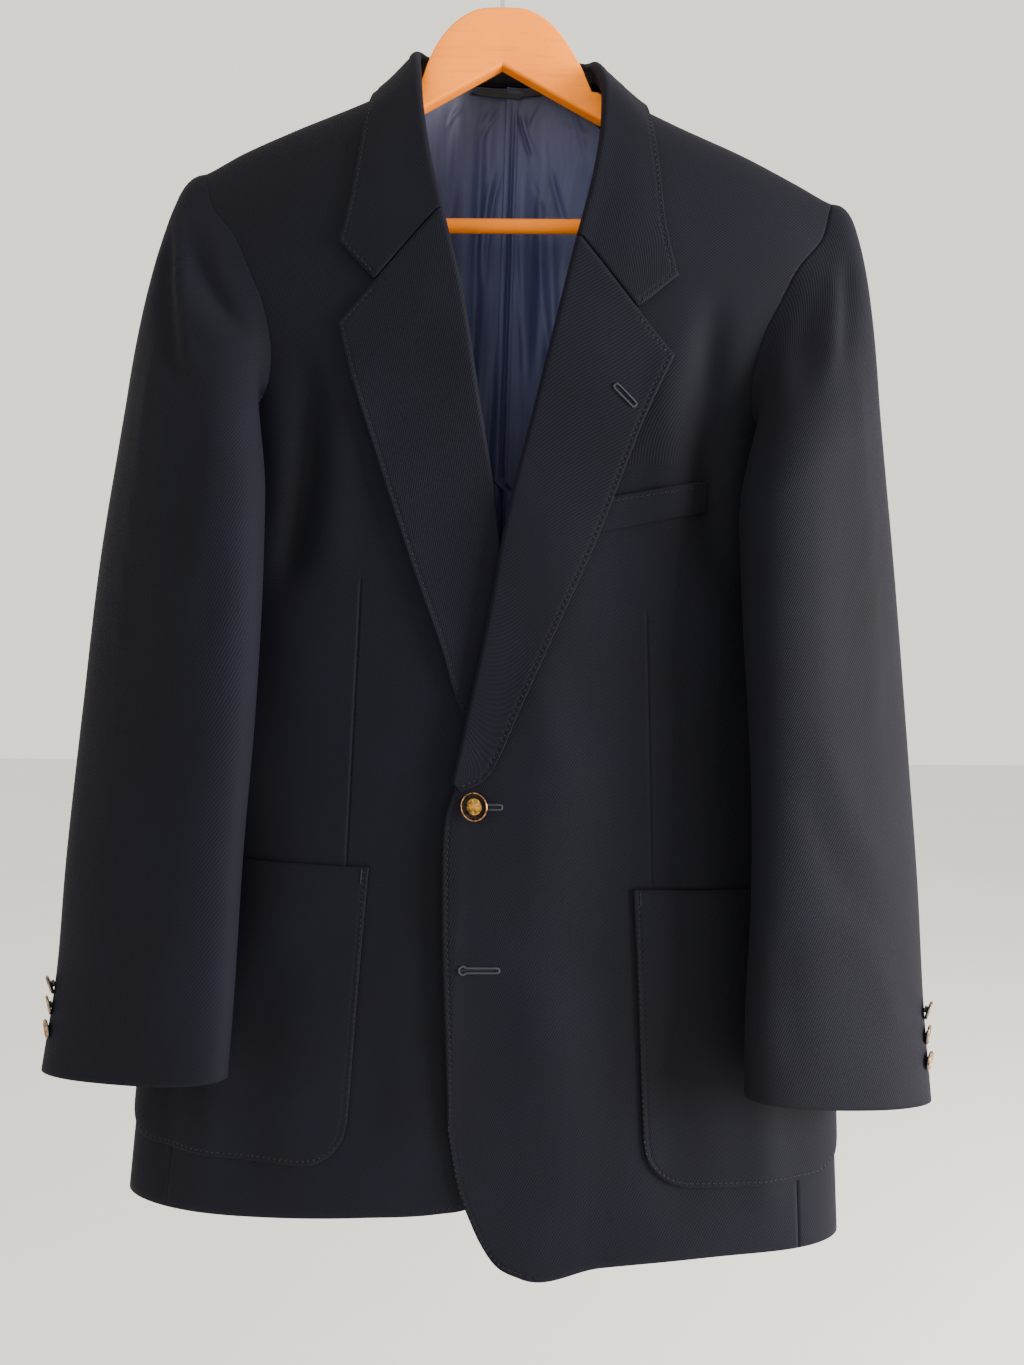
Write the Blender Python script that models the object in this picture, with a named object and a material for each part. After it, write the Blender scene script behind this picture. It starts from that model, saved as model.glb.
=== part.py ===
import math

import bpy
import numpy as np

# A single breasted two-button blazer hanging on a plain wooden hanger.
# Tables are in millimetres and the model is in metres, +Z up.
# Viewed along +Y the garment shows its front; its own left side is at +X.
# The origin is where the rail carries the inside of the hook.
# A side is +1 for the garment's left and -1 for its right, and the tables
# for one side count x outwards from the garment's middle.

mm = 0.001
sides = {1: "left", -1: "right"}

# the garment hangs a little askew on its level hanger
hangTilt = math.radians(1.8)
hangX = 14.6
hangZ = -135.0

# cloth
wall = 1.8
seamGap = 0.3
liningWall = 1.0
pocketWall = 1.6

# body: one closed ring per row, v = 0 at the shoulder, 1 at the underarm, 2 at the hem
rowAt = [0.0, 0.5, 1.0, 1.35, 1.65, 2.0]
rowHalf = [262.0, 250.0, 236.0, 238.0, 253.0, 268.5]
rowSkew = [0.0, 0.0, 0.0, 0.0, 1.5, 2.5]
rowFront = [60.0, 61.0, 60.0, 57.0, 57.0, 60.0]
rowBack = [50.0, 52.0, 55.0, 54.0, 54.0, 56.0]
roundness = 2.2
crown = 2.2
underarm = {1: -270.0, -1: -260.0}
frontSeam = math.radians(58)
frontShare = [0.0, 0.03, 0.07, 0.12, 0.19, 0.27, 0.36, 0.46, 0.57, 0.68, 0.79, 0.9, 1.0]
backSeam = math.radians(113)

# rows of points down the body; the sleeve takes its own from the upper ones
upperRows = [0.003, 0.1, 0.22, 0.36, 0.5, 0.62, 0.74, 0.85, 0.93, 1.0]
lowerRows = [1.08, 1.17, 1.27, 1.37, 1.47, 1.57, 1.67, 1.77, 1.86, 1.93, 2.0]
sideColumns = 7

# shoulder line: x outwards, height
ridgeX = [0.0, 57.0, 86.6, 110.0, 165.0, 200.0, 228.0, 242.0, 262.0]
ridgeZ = {1: [24.0, 6.0, -8.0, -18.0, -39.8, -56.0, -69.0, -72.0, -76.0],
          -1: [37.0, 16.0, 2.0, -9.5, -33.5, -50.0, -65.5, -70.5, -76.0]}

# neck opening, centred on the hanger
neckMiddle = -12.0
neckHalf = 68.5
neckRise = 45.0
neckDepthAt = [0.0, 30.0, 50.0, 60.0, 68.5]
neckHeight = [20.0, 17.5, 11.0, 9.0, 6.0]

# armhole: row, angle round the body at the front and at the back
armRow = [0.0, 0.25, 0.436, 0.587, 0.686, 0.752, 0.8, 0.87, 0.93, 0.97, 1.0]
armFront = [59.1, 59.0, 57.4, 50.7, 47.3, 44.6, 43.3, 42.4, 44.5, 50.0, 58.0]
armBack = [120.9, 121.2, 120.8, 124.5, 127.0, 128.2, 129.0, 129.3, 127.0, 120.0, 113.0]

# roll line, then the free front edge below the break: height, x outwards
edgeZ = {1: [-770.0, -735.0, -677.0, -572.0, -523.0, -465.0, -393.0, -298.0, -240.0, -182.0,
             -119.0, -78.0, -29.5, 0.0, 24.0],
         -1: [-770.0, -720.0, -660.0, -572.0, -505.0, -460.0, -390.0, -298.0, -231.0, -165.0,
              -104.0, -66.0, -28.0, 0.0, 27.0]}
edgeX = {1: [-22.0, -24.0, -27.8, -34.0, -34.4, -25.0, -12.0, 2.6, 15.0, 27.2,
             40.3, 49.5, 55.3, 54.0, 49.5],
         -1: [-20.0, -22.0, -25.0, -27.0, -24.0, -18.0, -6.0, 6.9, 20.3, 33.0,
              49.5, 60.0, 67.5, 72.0, 74.8]}
breakZ = {1: -510.0, -1: -505.0}

# hem: x outwards at the front, height; the last heights serve the side and the back
hemX = [-24.0, -17.7, -6.0, 8.8, 30.4, 86.0, 157.0, 234.0, 268.0]
hemZ = {1: [-735.0, -769.0, -801.6, -828.0, -841.0, -834.5, -829.0, -828.0, -828.0],
        -1: [-720.0, -756.0, -785.0, -794.0, -799.0, -804.5, -811.0, -815.0, -815.0]}
hemBack = -822.0

# how far the left front stands over the right one: height, clearance
lapZ = [-860.0, -760.0, -690.0, -600.0, -500.0, -400.0, -320.0, -230.0]
lapLift = [3.6, 3.8, 7.4, 8.4, 7.8, 6.6, 5.6, 0.0]
lapFull = 25.0
lapNone = 90.0

# lapels: roll point and outer edge point of each row, then the clearance under them
lapel = {
    1: {"rollZ": [-119.0, -182.0, -240.0, -298.0, -393.0, -465.0, -494.0],
        "edgeX": [110.2, 88.7, 64.3, 39.6, 14.8, -3.7, -25.0],
        "edgeZ": [-195.6, -247.0, -316.0, -378.0, -440.0, -484.0, -499.0],
        "rollGap": [3.2, 3.2, 3.2, 3.0, 2.6, 2.0, 1.2],
        "edgeGap": [1.6, 2.6, 2.6, 2.0, 1.4, 1.0, 0.8]},
    -1: {"rollZ": [-104.0, -165.0, -231.0, -298.0, -390.0, -460.0, -485.0],
         "edgeX": [118.7, 107.9, 88.3, 64.0, 41.3, 24.5, -8.0],
         "edgeZ": [-182.0, -220.0, -274.0, -341.0, -398.0, -445.0, -490.0],
         "rollGap": [3.2, 3.2, 3.0, 1.4, 0.8, 0.8, 0.8],
         "edgeGap": [1.6, 1.4, 1.2, 0.8, 0.8, 0.8, 0.8]},
}
lapelRows = 15
rollClear = 0.3

# collar stations from the gorge to the centre back: fold, outer edge
collar = {
    1: {"foldX": [40.3, 49.5, 55.3, 54.0, 49.5], "foldZ": [-119.0, -78.0, -29.5, 0.0, 24.0],
        "edgeX": [111.2, 102.0, 96.5, 91.5, 86.6], "edgeZ": [-141.0, -108.0, -64.0, -24.0, -3.5],
        "notch": 83.8},
    -1: {"foldX": [49.5, 60.0, 67.5, 72.0, 74.8], "foldZ": [-104.0, -66.0, -28.0, 0.0, 27.0],
         "edgeX": [121.3, 114.5, 110.0, 108.0, 104.6], "edgeZ": [-126.0, -94.0, -52.0, -22.0, -3.5],
         "notch": 94.5},
}
collarBack = {"foldOut": [56.0, 36.0, 0.0], "foldY": [22.0, 33.0, 38.0], "foldZ": [36.0, 44.0, 49.0],
              "edgeOut": [82.0, 52.0, 0.0], "edgeZ": [-13.0, -3.0, 4.0]}
edgeClear = 1.6
collarRadius = [2.5, 2.6, 2.8, 3.0, 3.2, 3.2, 3.2, 3.2]
collarRows = [0.0, 0.06, 0.14, 0.23, 0.32, 0.41, 0.49, 0.56, 0.62, 0.68, 0.75, 0.83, 0.91, 1.0]
standColumns = 8
standCut = [2.3, 2.3, 2.6, 4.6, 5.0, 3.4, 2.6, 2.6]
fallClear = 2.4
fallEdgeClear = 1.4
shoulderReach = 12.0

# sleeves: inner edge, outer edge and the swell of the two faces of each section
sleeve = {
    1: {"innerX": [157.0, 163.5, 173.5, 177.5, 177.5, 179.5],
        "innerY": [-66.0, -72.0, -75.0, -76.0, -76.0, -76.0],
        "innerZ": [-285.0, -372.0, -478.0, -560.0, -640.0, -698.0],
        "outerX": [256.0, 273.0, 290.0, 302.0, 311.0, 319.6],
        "outerY": [-4.0, -12.0, -20.0, -26.0, -31.0, -34.0],
        "outerZ": [-222.0, -335.0, -462.0, -556.0, -645.0, -711.0],
        "front": [38.0, 34.0, 29.0, 26.0, 24.0, 23.0],
        "back": [6.0, 8.0, 9.0, 10.0, 11.0, 11.0]},
    -1: {"innerX": [164.0, 162.5, 164.5, 170.0, 173.5, 176.5],
         "innerY": [-66.0, -72.0, -75.0, -76.0, -76.0, -76.0],
         "innerZ": [-278.0, -366.0, -452.0, -545.0, -640.0, -699.0],
         "outerX": [263.5, 282.5, 293.5, 302.5, 307.0, 316.3],
         "outerY": [-4.0, -12.0, -20.0, -26.0, -31.0, -34.0],
         "outerZ": [-218.0, -340.0, -448.0, -555.0, -640.0, -713.0],
         "front": [38.0, 34.0, 29.0, 26.0, 24.0, 23.0],
         "back": [6.0, 8.0, 9.0, 10.0, 11.0, 11.0]},
}
sleeveMid = {"share": [0.0, 60.0, 120.0, 150.0, 165.0, 180.0, 210.0, 270.0, 360.0],
             "angle": [0.0, 58.0, 152.0, 238.0, 272.0, 298.0, 324.0, 342.0, 360.0]}
sleeveLow = {"share": [0.0, 135.0, 315.0, 360.0], "angle": [0.0, 190.0, 345.0, 360.0]}
capRows = 7
armRows = 9
capPull = 95.0
armPull = 120.0
armholeGap = 1.1
# the cloth under the arm joins the sleeve's sections lower than the cloth over it
underDrop = 0.7
topSleeveFrom = 21
topSleeveTo = 8
cuffButtonZ = {1: [-644.0, -662.0, -680.0], -1: [-649.0, -664.0, -681.0]}
cuffButtonWay = (0.92, -0.39)

# patch pockets: x of the inner side at the top and bottom, heights, reach round the side
pocket = {1: {"topX": 98.4, "lowX": 106.5, "top": -563.0, "bottom": -777.0, "turn": 86.0},
          -1: {"topX": 85.9, "lowX": 90.0, "top": -554.5, "bottom": -770.0, "turn": 86.0}}
pocketCorner = 34.0
pocketLift = 0.7

# breast welt: four corners, the inner end lying under the lapel
welt = {"topX": [52.0, 140.2], "topZ": [-296.5, -277.4], "lowX": [45.0, 139.2], "lowZ": [-322.0, -299.3]}
weltLift = 0.5
weltWall = 1.5

# buttons: metal, with a short shank
frontButton = {"radius": 10.2, "thick": 3.0, "x": -11.7, "z": -507.0}
lowerButton = {"x": 11.7, "z": -621.0}
cuffButton = {"radius": 7.6, "thick": 2.6, "stand": 0.8}
shankRadius = 2.4
shankLength = 1.6

# lining of the back, with its centre pleat
liningInset = 6.5
liningFold = 2.6
liningPleat = 4.0
liningSag = 10.0
liningZ = [12.0, -8.0, -30.0, -60.0, -95.0, -140.0, -190.0,
           -260.0, -350.0, -450.0, -550.0, -650.0, -740.0, -800.0]
liningReach = [46.0, 66.0, 90.0, 118.0, 142.0, 162.0, 174.0,
               178.0, 178.0, 180.0, 184.0, 188.0, 192.0, 195.0]
loopHalf = 28.0
loopHigh = 6.0
loopInset = 6.15
loopBow = 2.0
loopWall = 1.2

# hanger, level: x outwards from its middle, top and underside; its crown is cut back
# on the one side, where the collar lies close
hanger = {"thick": 12.0, "soft": 2.5, "end": 219.0,
          1: {"x": [0.0, 20.0, 37.0, 45.0, 50.3, 54.5, 58.0, 61.3, 64.5],
              "top": [-75.0, -77.5, -88.5, -98.0, -106.0, -112.8, -119.3, -127.0, -133.8]},
          -1: {"x": [0.0, 20.0, 37.0, 45.0, 50.0, 54.0, 57.3, 60.5, 64.5],
               "top": [-75.0, -77.5, -88.5, -98.0, -106.5, -115.5, -124.5, -131.8, -133.2]},
          "lowX": [0.0, 60.0, 120.0, 170.0, 192.0, 196.0, 219.0],
          "low": [-116.0, -148.5, -180.0, -206.0, -218.0, -238.0, -240.0]}
armDrop = 3.15
tipChamfer = 4.0
bar = {"radius": 5.15, "spigot": 3.4, "half": 191.5, "reach": 205.0, "z": -227.5}
hook = {"wire": 1.6, "inner": 19.0, "sink": 9.0}
wireSides = 10


def spline(knots, values, at):
    # smooth curve through a table, its ends held
    knots = np.asarray(knots, float)
    values = np.asarray(values, float)
    at = np.clip(np.asarray(at, float), knots[0], knots[-1])
    slope = np.gradient(values, knots)
    i = np.clip(np.searchsorted(knots, at, side="right") - 1, 0, len(knots) - 2)
    span = knots[i + 1] - knots[i]
    t = (at - knots[i]) / span
    rise = (2 * t ** 3 - 3 * t ** 2 + 1) * values[i] + (3 * t ** 2 - 2 * t ** 3) * values[i + 1]
    bend = (t ** 3 - 2 * t ** 2 + t) * slope[i] + (t ** 3 - t ** 2) * slope[i + 1]
    return rise + span * bend


def ease(low, high, at):
    t = np.clip((np.asarray(at, float) - low) / (high - low), 0, 1)
    return t * t * (3 - 2 * t)


def signedPower(value, power):
    return np.sign(value) * np.abs(value) ** power


def unit(vectors):
    return vectors / np.maximum(np.linalg.norm(vectors, axis=-1, keepdims=True), 1e-9)


def ridge(side, x, back):
    top = spline(ridgeX, ridgeZ[side], np.abs(x))
    fromNeck = np.abs(side * x - neckMiddle) / neckHalf
    raised = top + neckRise * np.cos(np.clip(fromNeck, 0, 1) * math.pi / 2) ** 2
    return np.where(back, raised, top)


def hemAt(side, phi):
    x = (rowHalf[-1] + side * rowSkew[-1]) * signedPower(np.sin(phi), 2 / roundness)
    front = spline(hemX, hemZ[side], x)
    behind = hemBack + (hemZ[side][-1] - hemBack) * ease(60, 250, np.abs(x))
    return np.where(np.cos(phi) > 0, front, behind)


def halfAt(side, v):
    return spline(rowAt, rowHalf, v) + side * spline(rowAt, rowSkew, v)


def bodyAt(side, phi, v):
    # outer face of the garment's body, before the wall is taken inwards
    phi, v = np.broadcast_arrays(np.asarray(phi, float), np.asarray(v, float))
    x = halfAt(side, v) * signedPower(np.sin(phi), 2 / roundness)
    deep = signedPower(np.cos(phi), 2 / roundness)
    drop = np.clip(v, 0, 1) ** 2
    swell = np.sqrt(1 - (1 - drop) ** crown)
    y = -np.where(deep > 0, spline(rowAt, rowFront, v), spline(rowAt, rowBack, v)) * deep * swell
    top = ridge(side, x, deep < 0)
    low = underarm[side]
    z = np.where(v < 1, top + (low - top) * drop, low + (hemAt(side, phi) - low) * (v - 1))
    if side > 0:
        over = spline(lapZ, lapLift, z) * (1 - ease(lapFull, lapNone, x))
        y = np.where(deep > 0, y - over, y)
    return np.stack((side * x, y, z), -1)


def bodyNormal(side, phi, v):
    phi, v = np.broadcast_arrays(np.asarray(phi, float), np.asarray(v, float))
    step = 0.004
    low = np.clip(v - step, 0, 2)
    high = np.clip(v + step, 0, 2)
    down = bodyAt(side, phi, high) - bodyAt(side, phi, low)
    round_ = bodyAt(side, phi + step, v) - bodyAt(side, phi - step, v)
    return unit(side * np.cross(down, round_))


def frontAt(side, x, z):
    # angle and row of a point of the front, from its x outwards and its height
    x, z = np.broadcast_arrays(np.asarray(x, float), np.asarray(z, float))
    v = np.full(x.shape, 1.3)
    low = underarm[side]
    for turn in range(14):
        phi = np.arcsin(np.clip(signedPower(x / halfAt(side, v), roundness / 2), -1, 1))
        top = ridge(side, x, False)
        upper = np.sqrt(np.clip((top - z) / (top - low), 0, 1))
        lower = 1 + np.clip((z - low) / (hemAt(side, phi) - low), 0, 1)
        v = np.where(z > low, upper, lower)
    return phi, v


def backAt(side, x, z):
    # angle and row of a point of the back, from its x outwards and its height
    x, z = np.broadcast_arrays(np.asarray(x, float), np.asarray(z, float))
    v = np.full(x.shape, 0.5)
    low = underarm[side]
    top = ridge(side, x, True)
    for turn in range(14):
        phi = backPhi(side, x, v)
        upper = np.sqrt(np.clip((top - z) / (top - low), 0, 1))
        lower = 1 + np.clip((z - low) / (hemAt(side, phi) - low), 0, 1)
        v = np.where(z > low, upper, lower)
    return phi, v


def onFront(side, x, z, lift):
    phi, v = frontAt(side, x, z)
    lift = np.asarray(lift, float)[..., None]
    return bodyAt(side, phi, v) + bodyNormal(side, phi, v) * lift


def backPhi(side, x, v):
    return math.pi - np.arcsin(np.clip(signedPower(x / halfAt(side, v), roundness / 2), -1, 1))


def toWorld(points):
    x, y, z = points[..., 0], points[..., 1], points[..., 2]
    c, s = math.cos(hangTilt), math.sin(hangTilt)
    return np.stack((hangX + x * c + z * s, y, hangZ - x * s + z * c), -1)


def lineAt(grid, axis, closed=False):
    # direction at each point of a line: halfway between the steps before and after it
    if closed:
        steps = unit(np.roll(grid, -1, axis) - grid)
        return steps + np.roll(steps, 1, axis)
    steps = unit(np.diff(grid, axis=axis))
    first, last = steps.take([0], axis), steps.take([-1], axis)
    return np.concatenate((first, steps), axis) + np.concatenate((steps, last), axis)


def gridNormals(grid, closed=False):
    return unit(np.cross(lineAt(grid, 1, closed), lineAt(grid, 0)))


def material(name, hexColour, roughness, metallic=0.0):
    made = bpy.data.materials.get(name) or bpy.data.materials.new(name)
    made.use_nodes = True
    shader = made.node_tree.nodes["Principled BSDF"]
    rgb = [int(hexColour[i:i + 2], 16) / 255 for i in (1, 3, 5)]
    linear = [c / 12.92 if c <= 0.04045 else ((c + 0.055) / 1.055) ** 2.4 for c in rgb]
    shader.inputs["Base Color"].default_value = (*linear, 1)
    shader.inputs["Roughness"].default_value = roughness
    shader.inputs["Metallic"].default_value = metallic
    return made


def addSolid(name, points, faces, finish, hang=True):
    if hang:
        points = toWorld(points)
    mesh = bpy.data.meshes.new(name)
    mesh.from_pydata((points * mm).tolist(), [], faces)
    mesh.update()
    made = bpy.data.objects.new(name, mesh)
    bpy.context.scene.collection.objects.link(made)
    mesh.materials.append(finish)
    volume = 0.0
    for face in mesh.polygons:
        corners = [mesh.vertices[i].co for i in face.vertices]
        for second, third in zip(corners[1:-1], corners[2:]):
            volume += corners[0].dot(second.cross(third))
    if volume < 0:
        mesh.flip_normals()
    mesh.shade_smooth()
    mesh.set_sharp_from_angle(angle=math.radians(40))
    return made


def addShell(name, middle, thickness, finish, normals=None, hang=True):
    # a sheet of even wall through a grid of points
    rows, columns = middle.shape[:2]
    if normals is None:
        normals = gridNormals(middle)
    lift = normals * thickness / 2
    points = np.concatenate(((middle + lift).reshape(-1, 3), (middle - lift).reshape(-1, 3)))
    other = rows * columns
    faces = []
    for i in range(rows - 1):
        for j in range(columns - 1):
            a = i * columns + j
            b, c, d = a + 1, a + 1 + columns, a + columns
            faces.append((a, b, c, d))
            faces.append((other + d, other + c, other + b, other + a))
        a, b = i * columns, (i + 1) * columns
        c, d = a + columns - 1, b + columns - 1
        faces.append((a, b, other + b, other + a))
        faces.append((d, c, other + c, other + d))
    low = (rows - 1) * columns
    for j in range(columns - 1):
        faces.append((j + 1, j, other + j, other + j + 1))
        faces.append((low + j, low + j + 1, other + low + j + 1, other + low + j))
    return addSolid(name, points, faces, finish, hang)


def addTurned(name, centre, axis, profile, segments, finish, hang=True):
    # a profile of (radius, height) turned about an axis, closed by a point at each end
    axis = unit(np.asarray(axis, float))
    sideways = unit(np.cross(axis, (0.3, 0.2, 1.0)))
    third = np.cross(axis, sideways)
    points = [np.asarray(centre) + axis * profile[0][1]]
    for radius, height in profile[1:-1]:
        for k in range(segments):
            turn = 2 * math.pi * k / segments
            spoke = sideways * math.cos(turn) + third * math.sin(turn)
            points.append(np.asarray(centre) + spoke * radius + axis * height)
    points.append(np.asarray(centre) + axis * profile[-1][1])
    faces = []
    rings = len(profile) - 2
    last = len(points) - 1
    for k in range(segments):
        n = (k + 1) % segments
        faces.append((0, 1 + n, 1 + k))
        base = 1 + (rings - 1) * segments
        faces.append((last, base + k, base + n))
        for i in range(rings - 1):
            a, b = 1 + i * segments, 1 + (i + 1) * segments
            faces.append((a + k, a + n, b + n, b + k))
    return addSolid(name, np.array(points), faces, finish, hang)


def bodyPanel(side, rows, inner, outer, share, finish):
    # rows of points between two angles given per row, the middle of the wall half a wall in
    share = np.asarray(share, float)
    phi = inner[:, None] + (outer - inner)[:, None] * share[None, :]
    v = np.broadcast_to(rows[:, None], phi.shape)
    normals = bodyNormal(side, phi, v)
    return bodyAt(side, phi, v) - normals * wall / 2, wall, finish, normals


def trimmed(side, phi, v, amount):
    # move an edge round the body by a distance in millimetres
    step = 0.002
    moved = bodyAt(side, phi + step, v) - bodyAt(side, phi - step, v)
    return phi + amount * 2 * step / np.linalg.norm(moved, axis=-1)


def rollReach(side, z):
    # distance from the visible roll to the edge of the cloth that turns there
    table = lapel[side]
    gap = spline(table["rollZ"][::-1], table["rollGap"][::-1], z)
    full = (gap + wall) / 2 + wall / 2
    return full * ease(breakZ[side] - 3, breakZ[side] + 12, z)


def panelEdge(side, z):
    return spline(edgeZ[side], edgeX[side], z) + rollReach(side, z)


def panelCut(side, z):
    # the panel stops a seam's gap short of the cloth that turns over it
    return panelEdge(side, z) + rollClear * ease(breakZ[side] - 3, breakZ[side] + 12, z)


def frontInner(side, rows):
    phi = np.zeros(len(rows))
    for turn in range(60):
        z = bodyAt(side, phi, rows)[..., 2]
        out = signedPower(panelCut(side, z) / halfAt(side, rows), roundness / 2)
        phi = phi + 0.5 * (np.arcsin(np.clip(out, -1, 1)) - phi)
    return phi


def buildBody(cloth):
    upper, lower = np.array(upperRows), np.array(lowerRows)
    rows = np.concatenate((upper, lower))
    half = seamGap / 2
    for side, label in sides.items():
        armFrontPhi = np.radians(spline(armRow, armFront, rows))
        armBackPhi = np.radians(spline(armRow, armBack, rows))
        frontOut = np.where(rows < 1, armFrontPhi, frontSeam)
        backOut = np.where(rows < 1, armBackPhi, backSeam)
        frontOut = trimmed(side, frontOut, rows, -half)
        backOut = trimmed(side, backOut, rows, half)
        inner = frontInner(side, rows)
        addShell("front_" + label, *bodyPanel(side, rows, inner, frontOut, frontShare, cloth))

        sideRows = np.concatenate(([1.0], lower))
        sideIn = trimmed(side, np.full(len(sideRows), frontSeam), sideRows, half)
        sideOut = trimmed(side, np.full(len(sideRows), backSeam), sideRows, -half)
        sideShare = np.linspace(0, 1, sideColumns)
        addShell("side_" + label, *bodyPanel(side, sideRows, sideIn, sideOut, sideShare, cloth))

        addShell("back_" + label, *backPanel(side, rows, backOut, 12, cloth))


def neckRow(side, x):
    # row at which the back neckline lies, zero outside the neck
    out = np.abs(side * x - neckMiddle)
    top = ridge(side, x, True)
    height = spline(neckDepthAt, neckHeight, out)
    row = np.sqrt(np.clip((top - height) / (top - underarm[side]), 0, 1))
    return np.where(out < neckHalf, np.maximum(row, 0.003), 0.003)


def centreBack(side, v):
    # the centre back seam runs from the middle of the neck to the middle of the back
    z = bodyAt(side, math.pi, v)[..., 2]
    return side * neckMiddle * ease(-330, -60, z)


def backPanel(side, rows, outer, columns, finish):
    share = np.linspace(0, 1, columns)
    v = np.broadcast_to(rows[:, None], (len(rows), columns)).copy()
    for turn in range(16):
        inner = backPhi(side, centreBack(side, v[:, 0]) + seamGap / 2, v[:, 0])
        phi = inner[:, None] + (outer - inner)[:, None] * share[None, :]
        x = halfAt(side, v) * signedPower(np.sin(phi), 2 / roundness)
        start = neckRow(side, x)
        v = np.where(rows[:, None] < 1, start + (1 - start) * rows[:, None], rows[:, None])
    normals = bodyNormal(side, phi, v)
    return bodyAt(side, phi, v) - normals * wall / 2, wall, finish, normals


def lapelTurn(side, knot, degrees):
    # the cloth turning over the roll at one row of the lapel's table
    gap, z = lapel[side]["rollGap"][knot], lapel[side]["rollZ"][knot]
    base = float(panelEdge(side, z))
    radius = (gap + wall) / 2
    turns = np.radians(degrees)
    phi, v = frontAt(side, base, z)
    points = bodyAt(side, phi, v) + bodyNormal(side, phi, v) * (gap / 2 + radius * np.sin(turns))[:, None]
    points[:, 0] += side * radius * np.cos(turns)
    return points


def buildLapels(cloth):
    for side, label in sides.items():
        table = lapel[side]
        knots = np.linspace(0, 1, len(table["rollZ"]))
        share = np.linspace(0, 0.985, lapelRows)
        read = {key: spline(knots, values, share) for key, values in table.items()}
        gridRows = []
        turns = np.radians([218, 190, 160, 125, 90])
        across = np.linspace(0, 1, 9)[1:] ** 0.9
        for i in range(lapelRows):
            gap = read["rollGap"][i]
            radius = (gap + wall) / 2
            base = float(panelEdge(side, read["rollZ"][i]))
            xs = np.concatenate((base + radius * np.cos(turns), base + (read["edgeX"][i] - base) * across))
            zs = np.concatenate((np.full(5, read["rollZ"][i]),
                                 read["rollZ"][i] + (read["edgeZ"][i] - read["rollZ"][i]) * across))
            flat = gap + (read["edgeGap"][i] - gap) * ease(0, 1, across) + wall / 2
            lift = np.concatenate((gap / 2 + radius * np.sin(turns), flat))
            phi, v = frontAt(side, np.maximum(xs, base), zs)
            anchor = bodyAt(side, phi, v)
            normal = bodyNormal(side, phi, v)
            anchor[:, 0] += side * np.minimum(xs - base, 0)
            gridRows.append(anchor + normal * lift[:, None])
        addShell("lapel_" + label, np.array(gridRows), wall, cloth)


def collarSide(side):
    # fold, outer edge and neck seam of one half, from the gorge to the centre back
    table = collar[side]
    fold, edge, seam = [], [], []
    radius = collarRadius[0]
    for i in range(5):
        x, z = table["foldX"][i], table["foldZ"][i]
        if i < 3:
            spot = onFront(side, x + radius + wall / 2, z, radius - wall / 2)
            spot[0] = side * x
            fold.append(spot)
            edge.append(onFront(side, table["edgeX"][i], table["edgeZ"][i], edgeClear + wall / 2))
            seam.append(onFront(side, panelCut(side, z), z, -wall / 2))
        elif i == 3:
            fold.append(np.array((side * x, -17.0, z + 7.0)))
            edge.append(np.array((side * table["edgeX"][i], -22.0, table["edgeZ"][i])))
            seam.append(onFront(side, panelCut(side, -6.0), -6.0, -wall / 2))
        else:
            fold.append(np.array((side * x, -1.0, z)))
            edge.append(np.array((side * table["edgeX"][i], -1.0, table["edgeZ"][i])))
            cut = float(panelCut(side, z))
            seam.append(np.array((side * cut, 0.0, float(ridge(side, cut, False)) + 0.6)))
    for i in range(3):
        out = collarBack["foldOut"][i]
        fold.append(np.array((neckMiddle + side * out, collarBack["foldY"][i], collarBack["foldZ"][i])))
        x = side * neckMiddle + collarBack["edgeOut"][i]
        top = float(ridge(side, x, True))
        v = math.sqrt(max((top - collarBack["edgeZ"][i]) / (top - underarm[side]), 0))
        phi = backPhi(side, x, v)
        edge.append(bodyAt(side, phi, v) + bodyNormal(side, phi, v) * (edgeClear + wall / 2))
        x = side * neckMiddle + out + 2.0 * (out > 0)
        v = neckRow(side, x)
        phi = backPhi(side, x, v)
        seam.append(bodyAt(side, phi, v) - bodyNormal(side, phi, v) * wall / 2)
    return np.array(fold), np.array(edge), np.array(seam)


def shareOf(points):
    lengths = np.concatenate(([0], np.cumsum(np.linalg.norm(np.diff(points, axis=0), axis=1))))
    return lengths, lengths / lengths[-1]


def splinePath(points, shares, at):
    return np.stack([spline(shares, points[:, k], at) for k in range(3)], -1)


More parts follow.
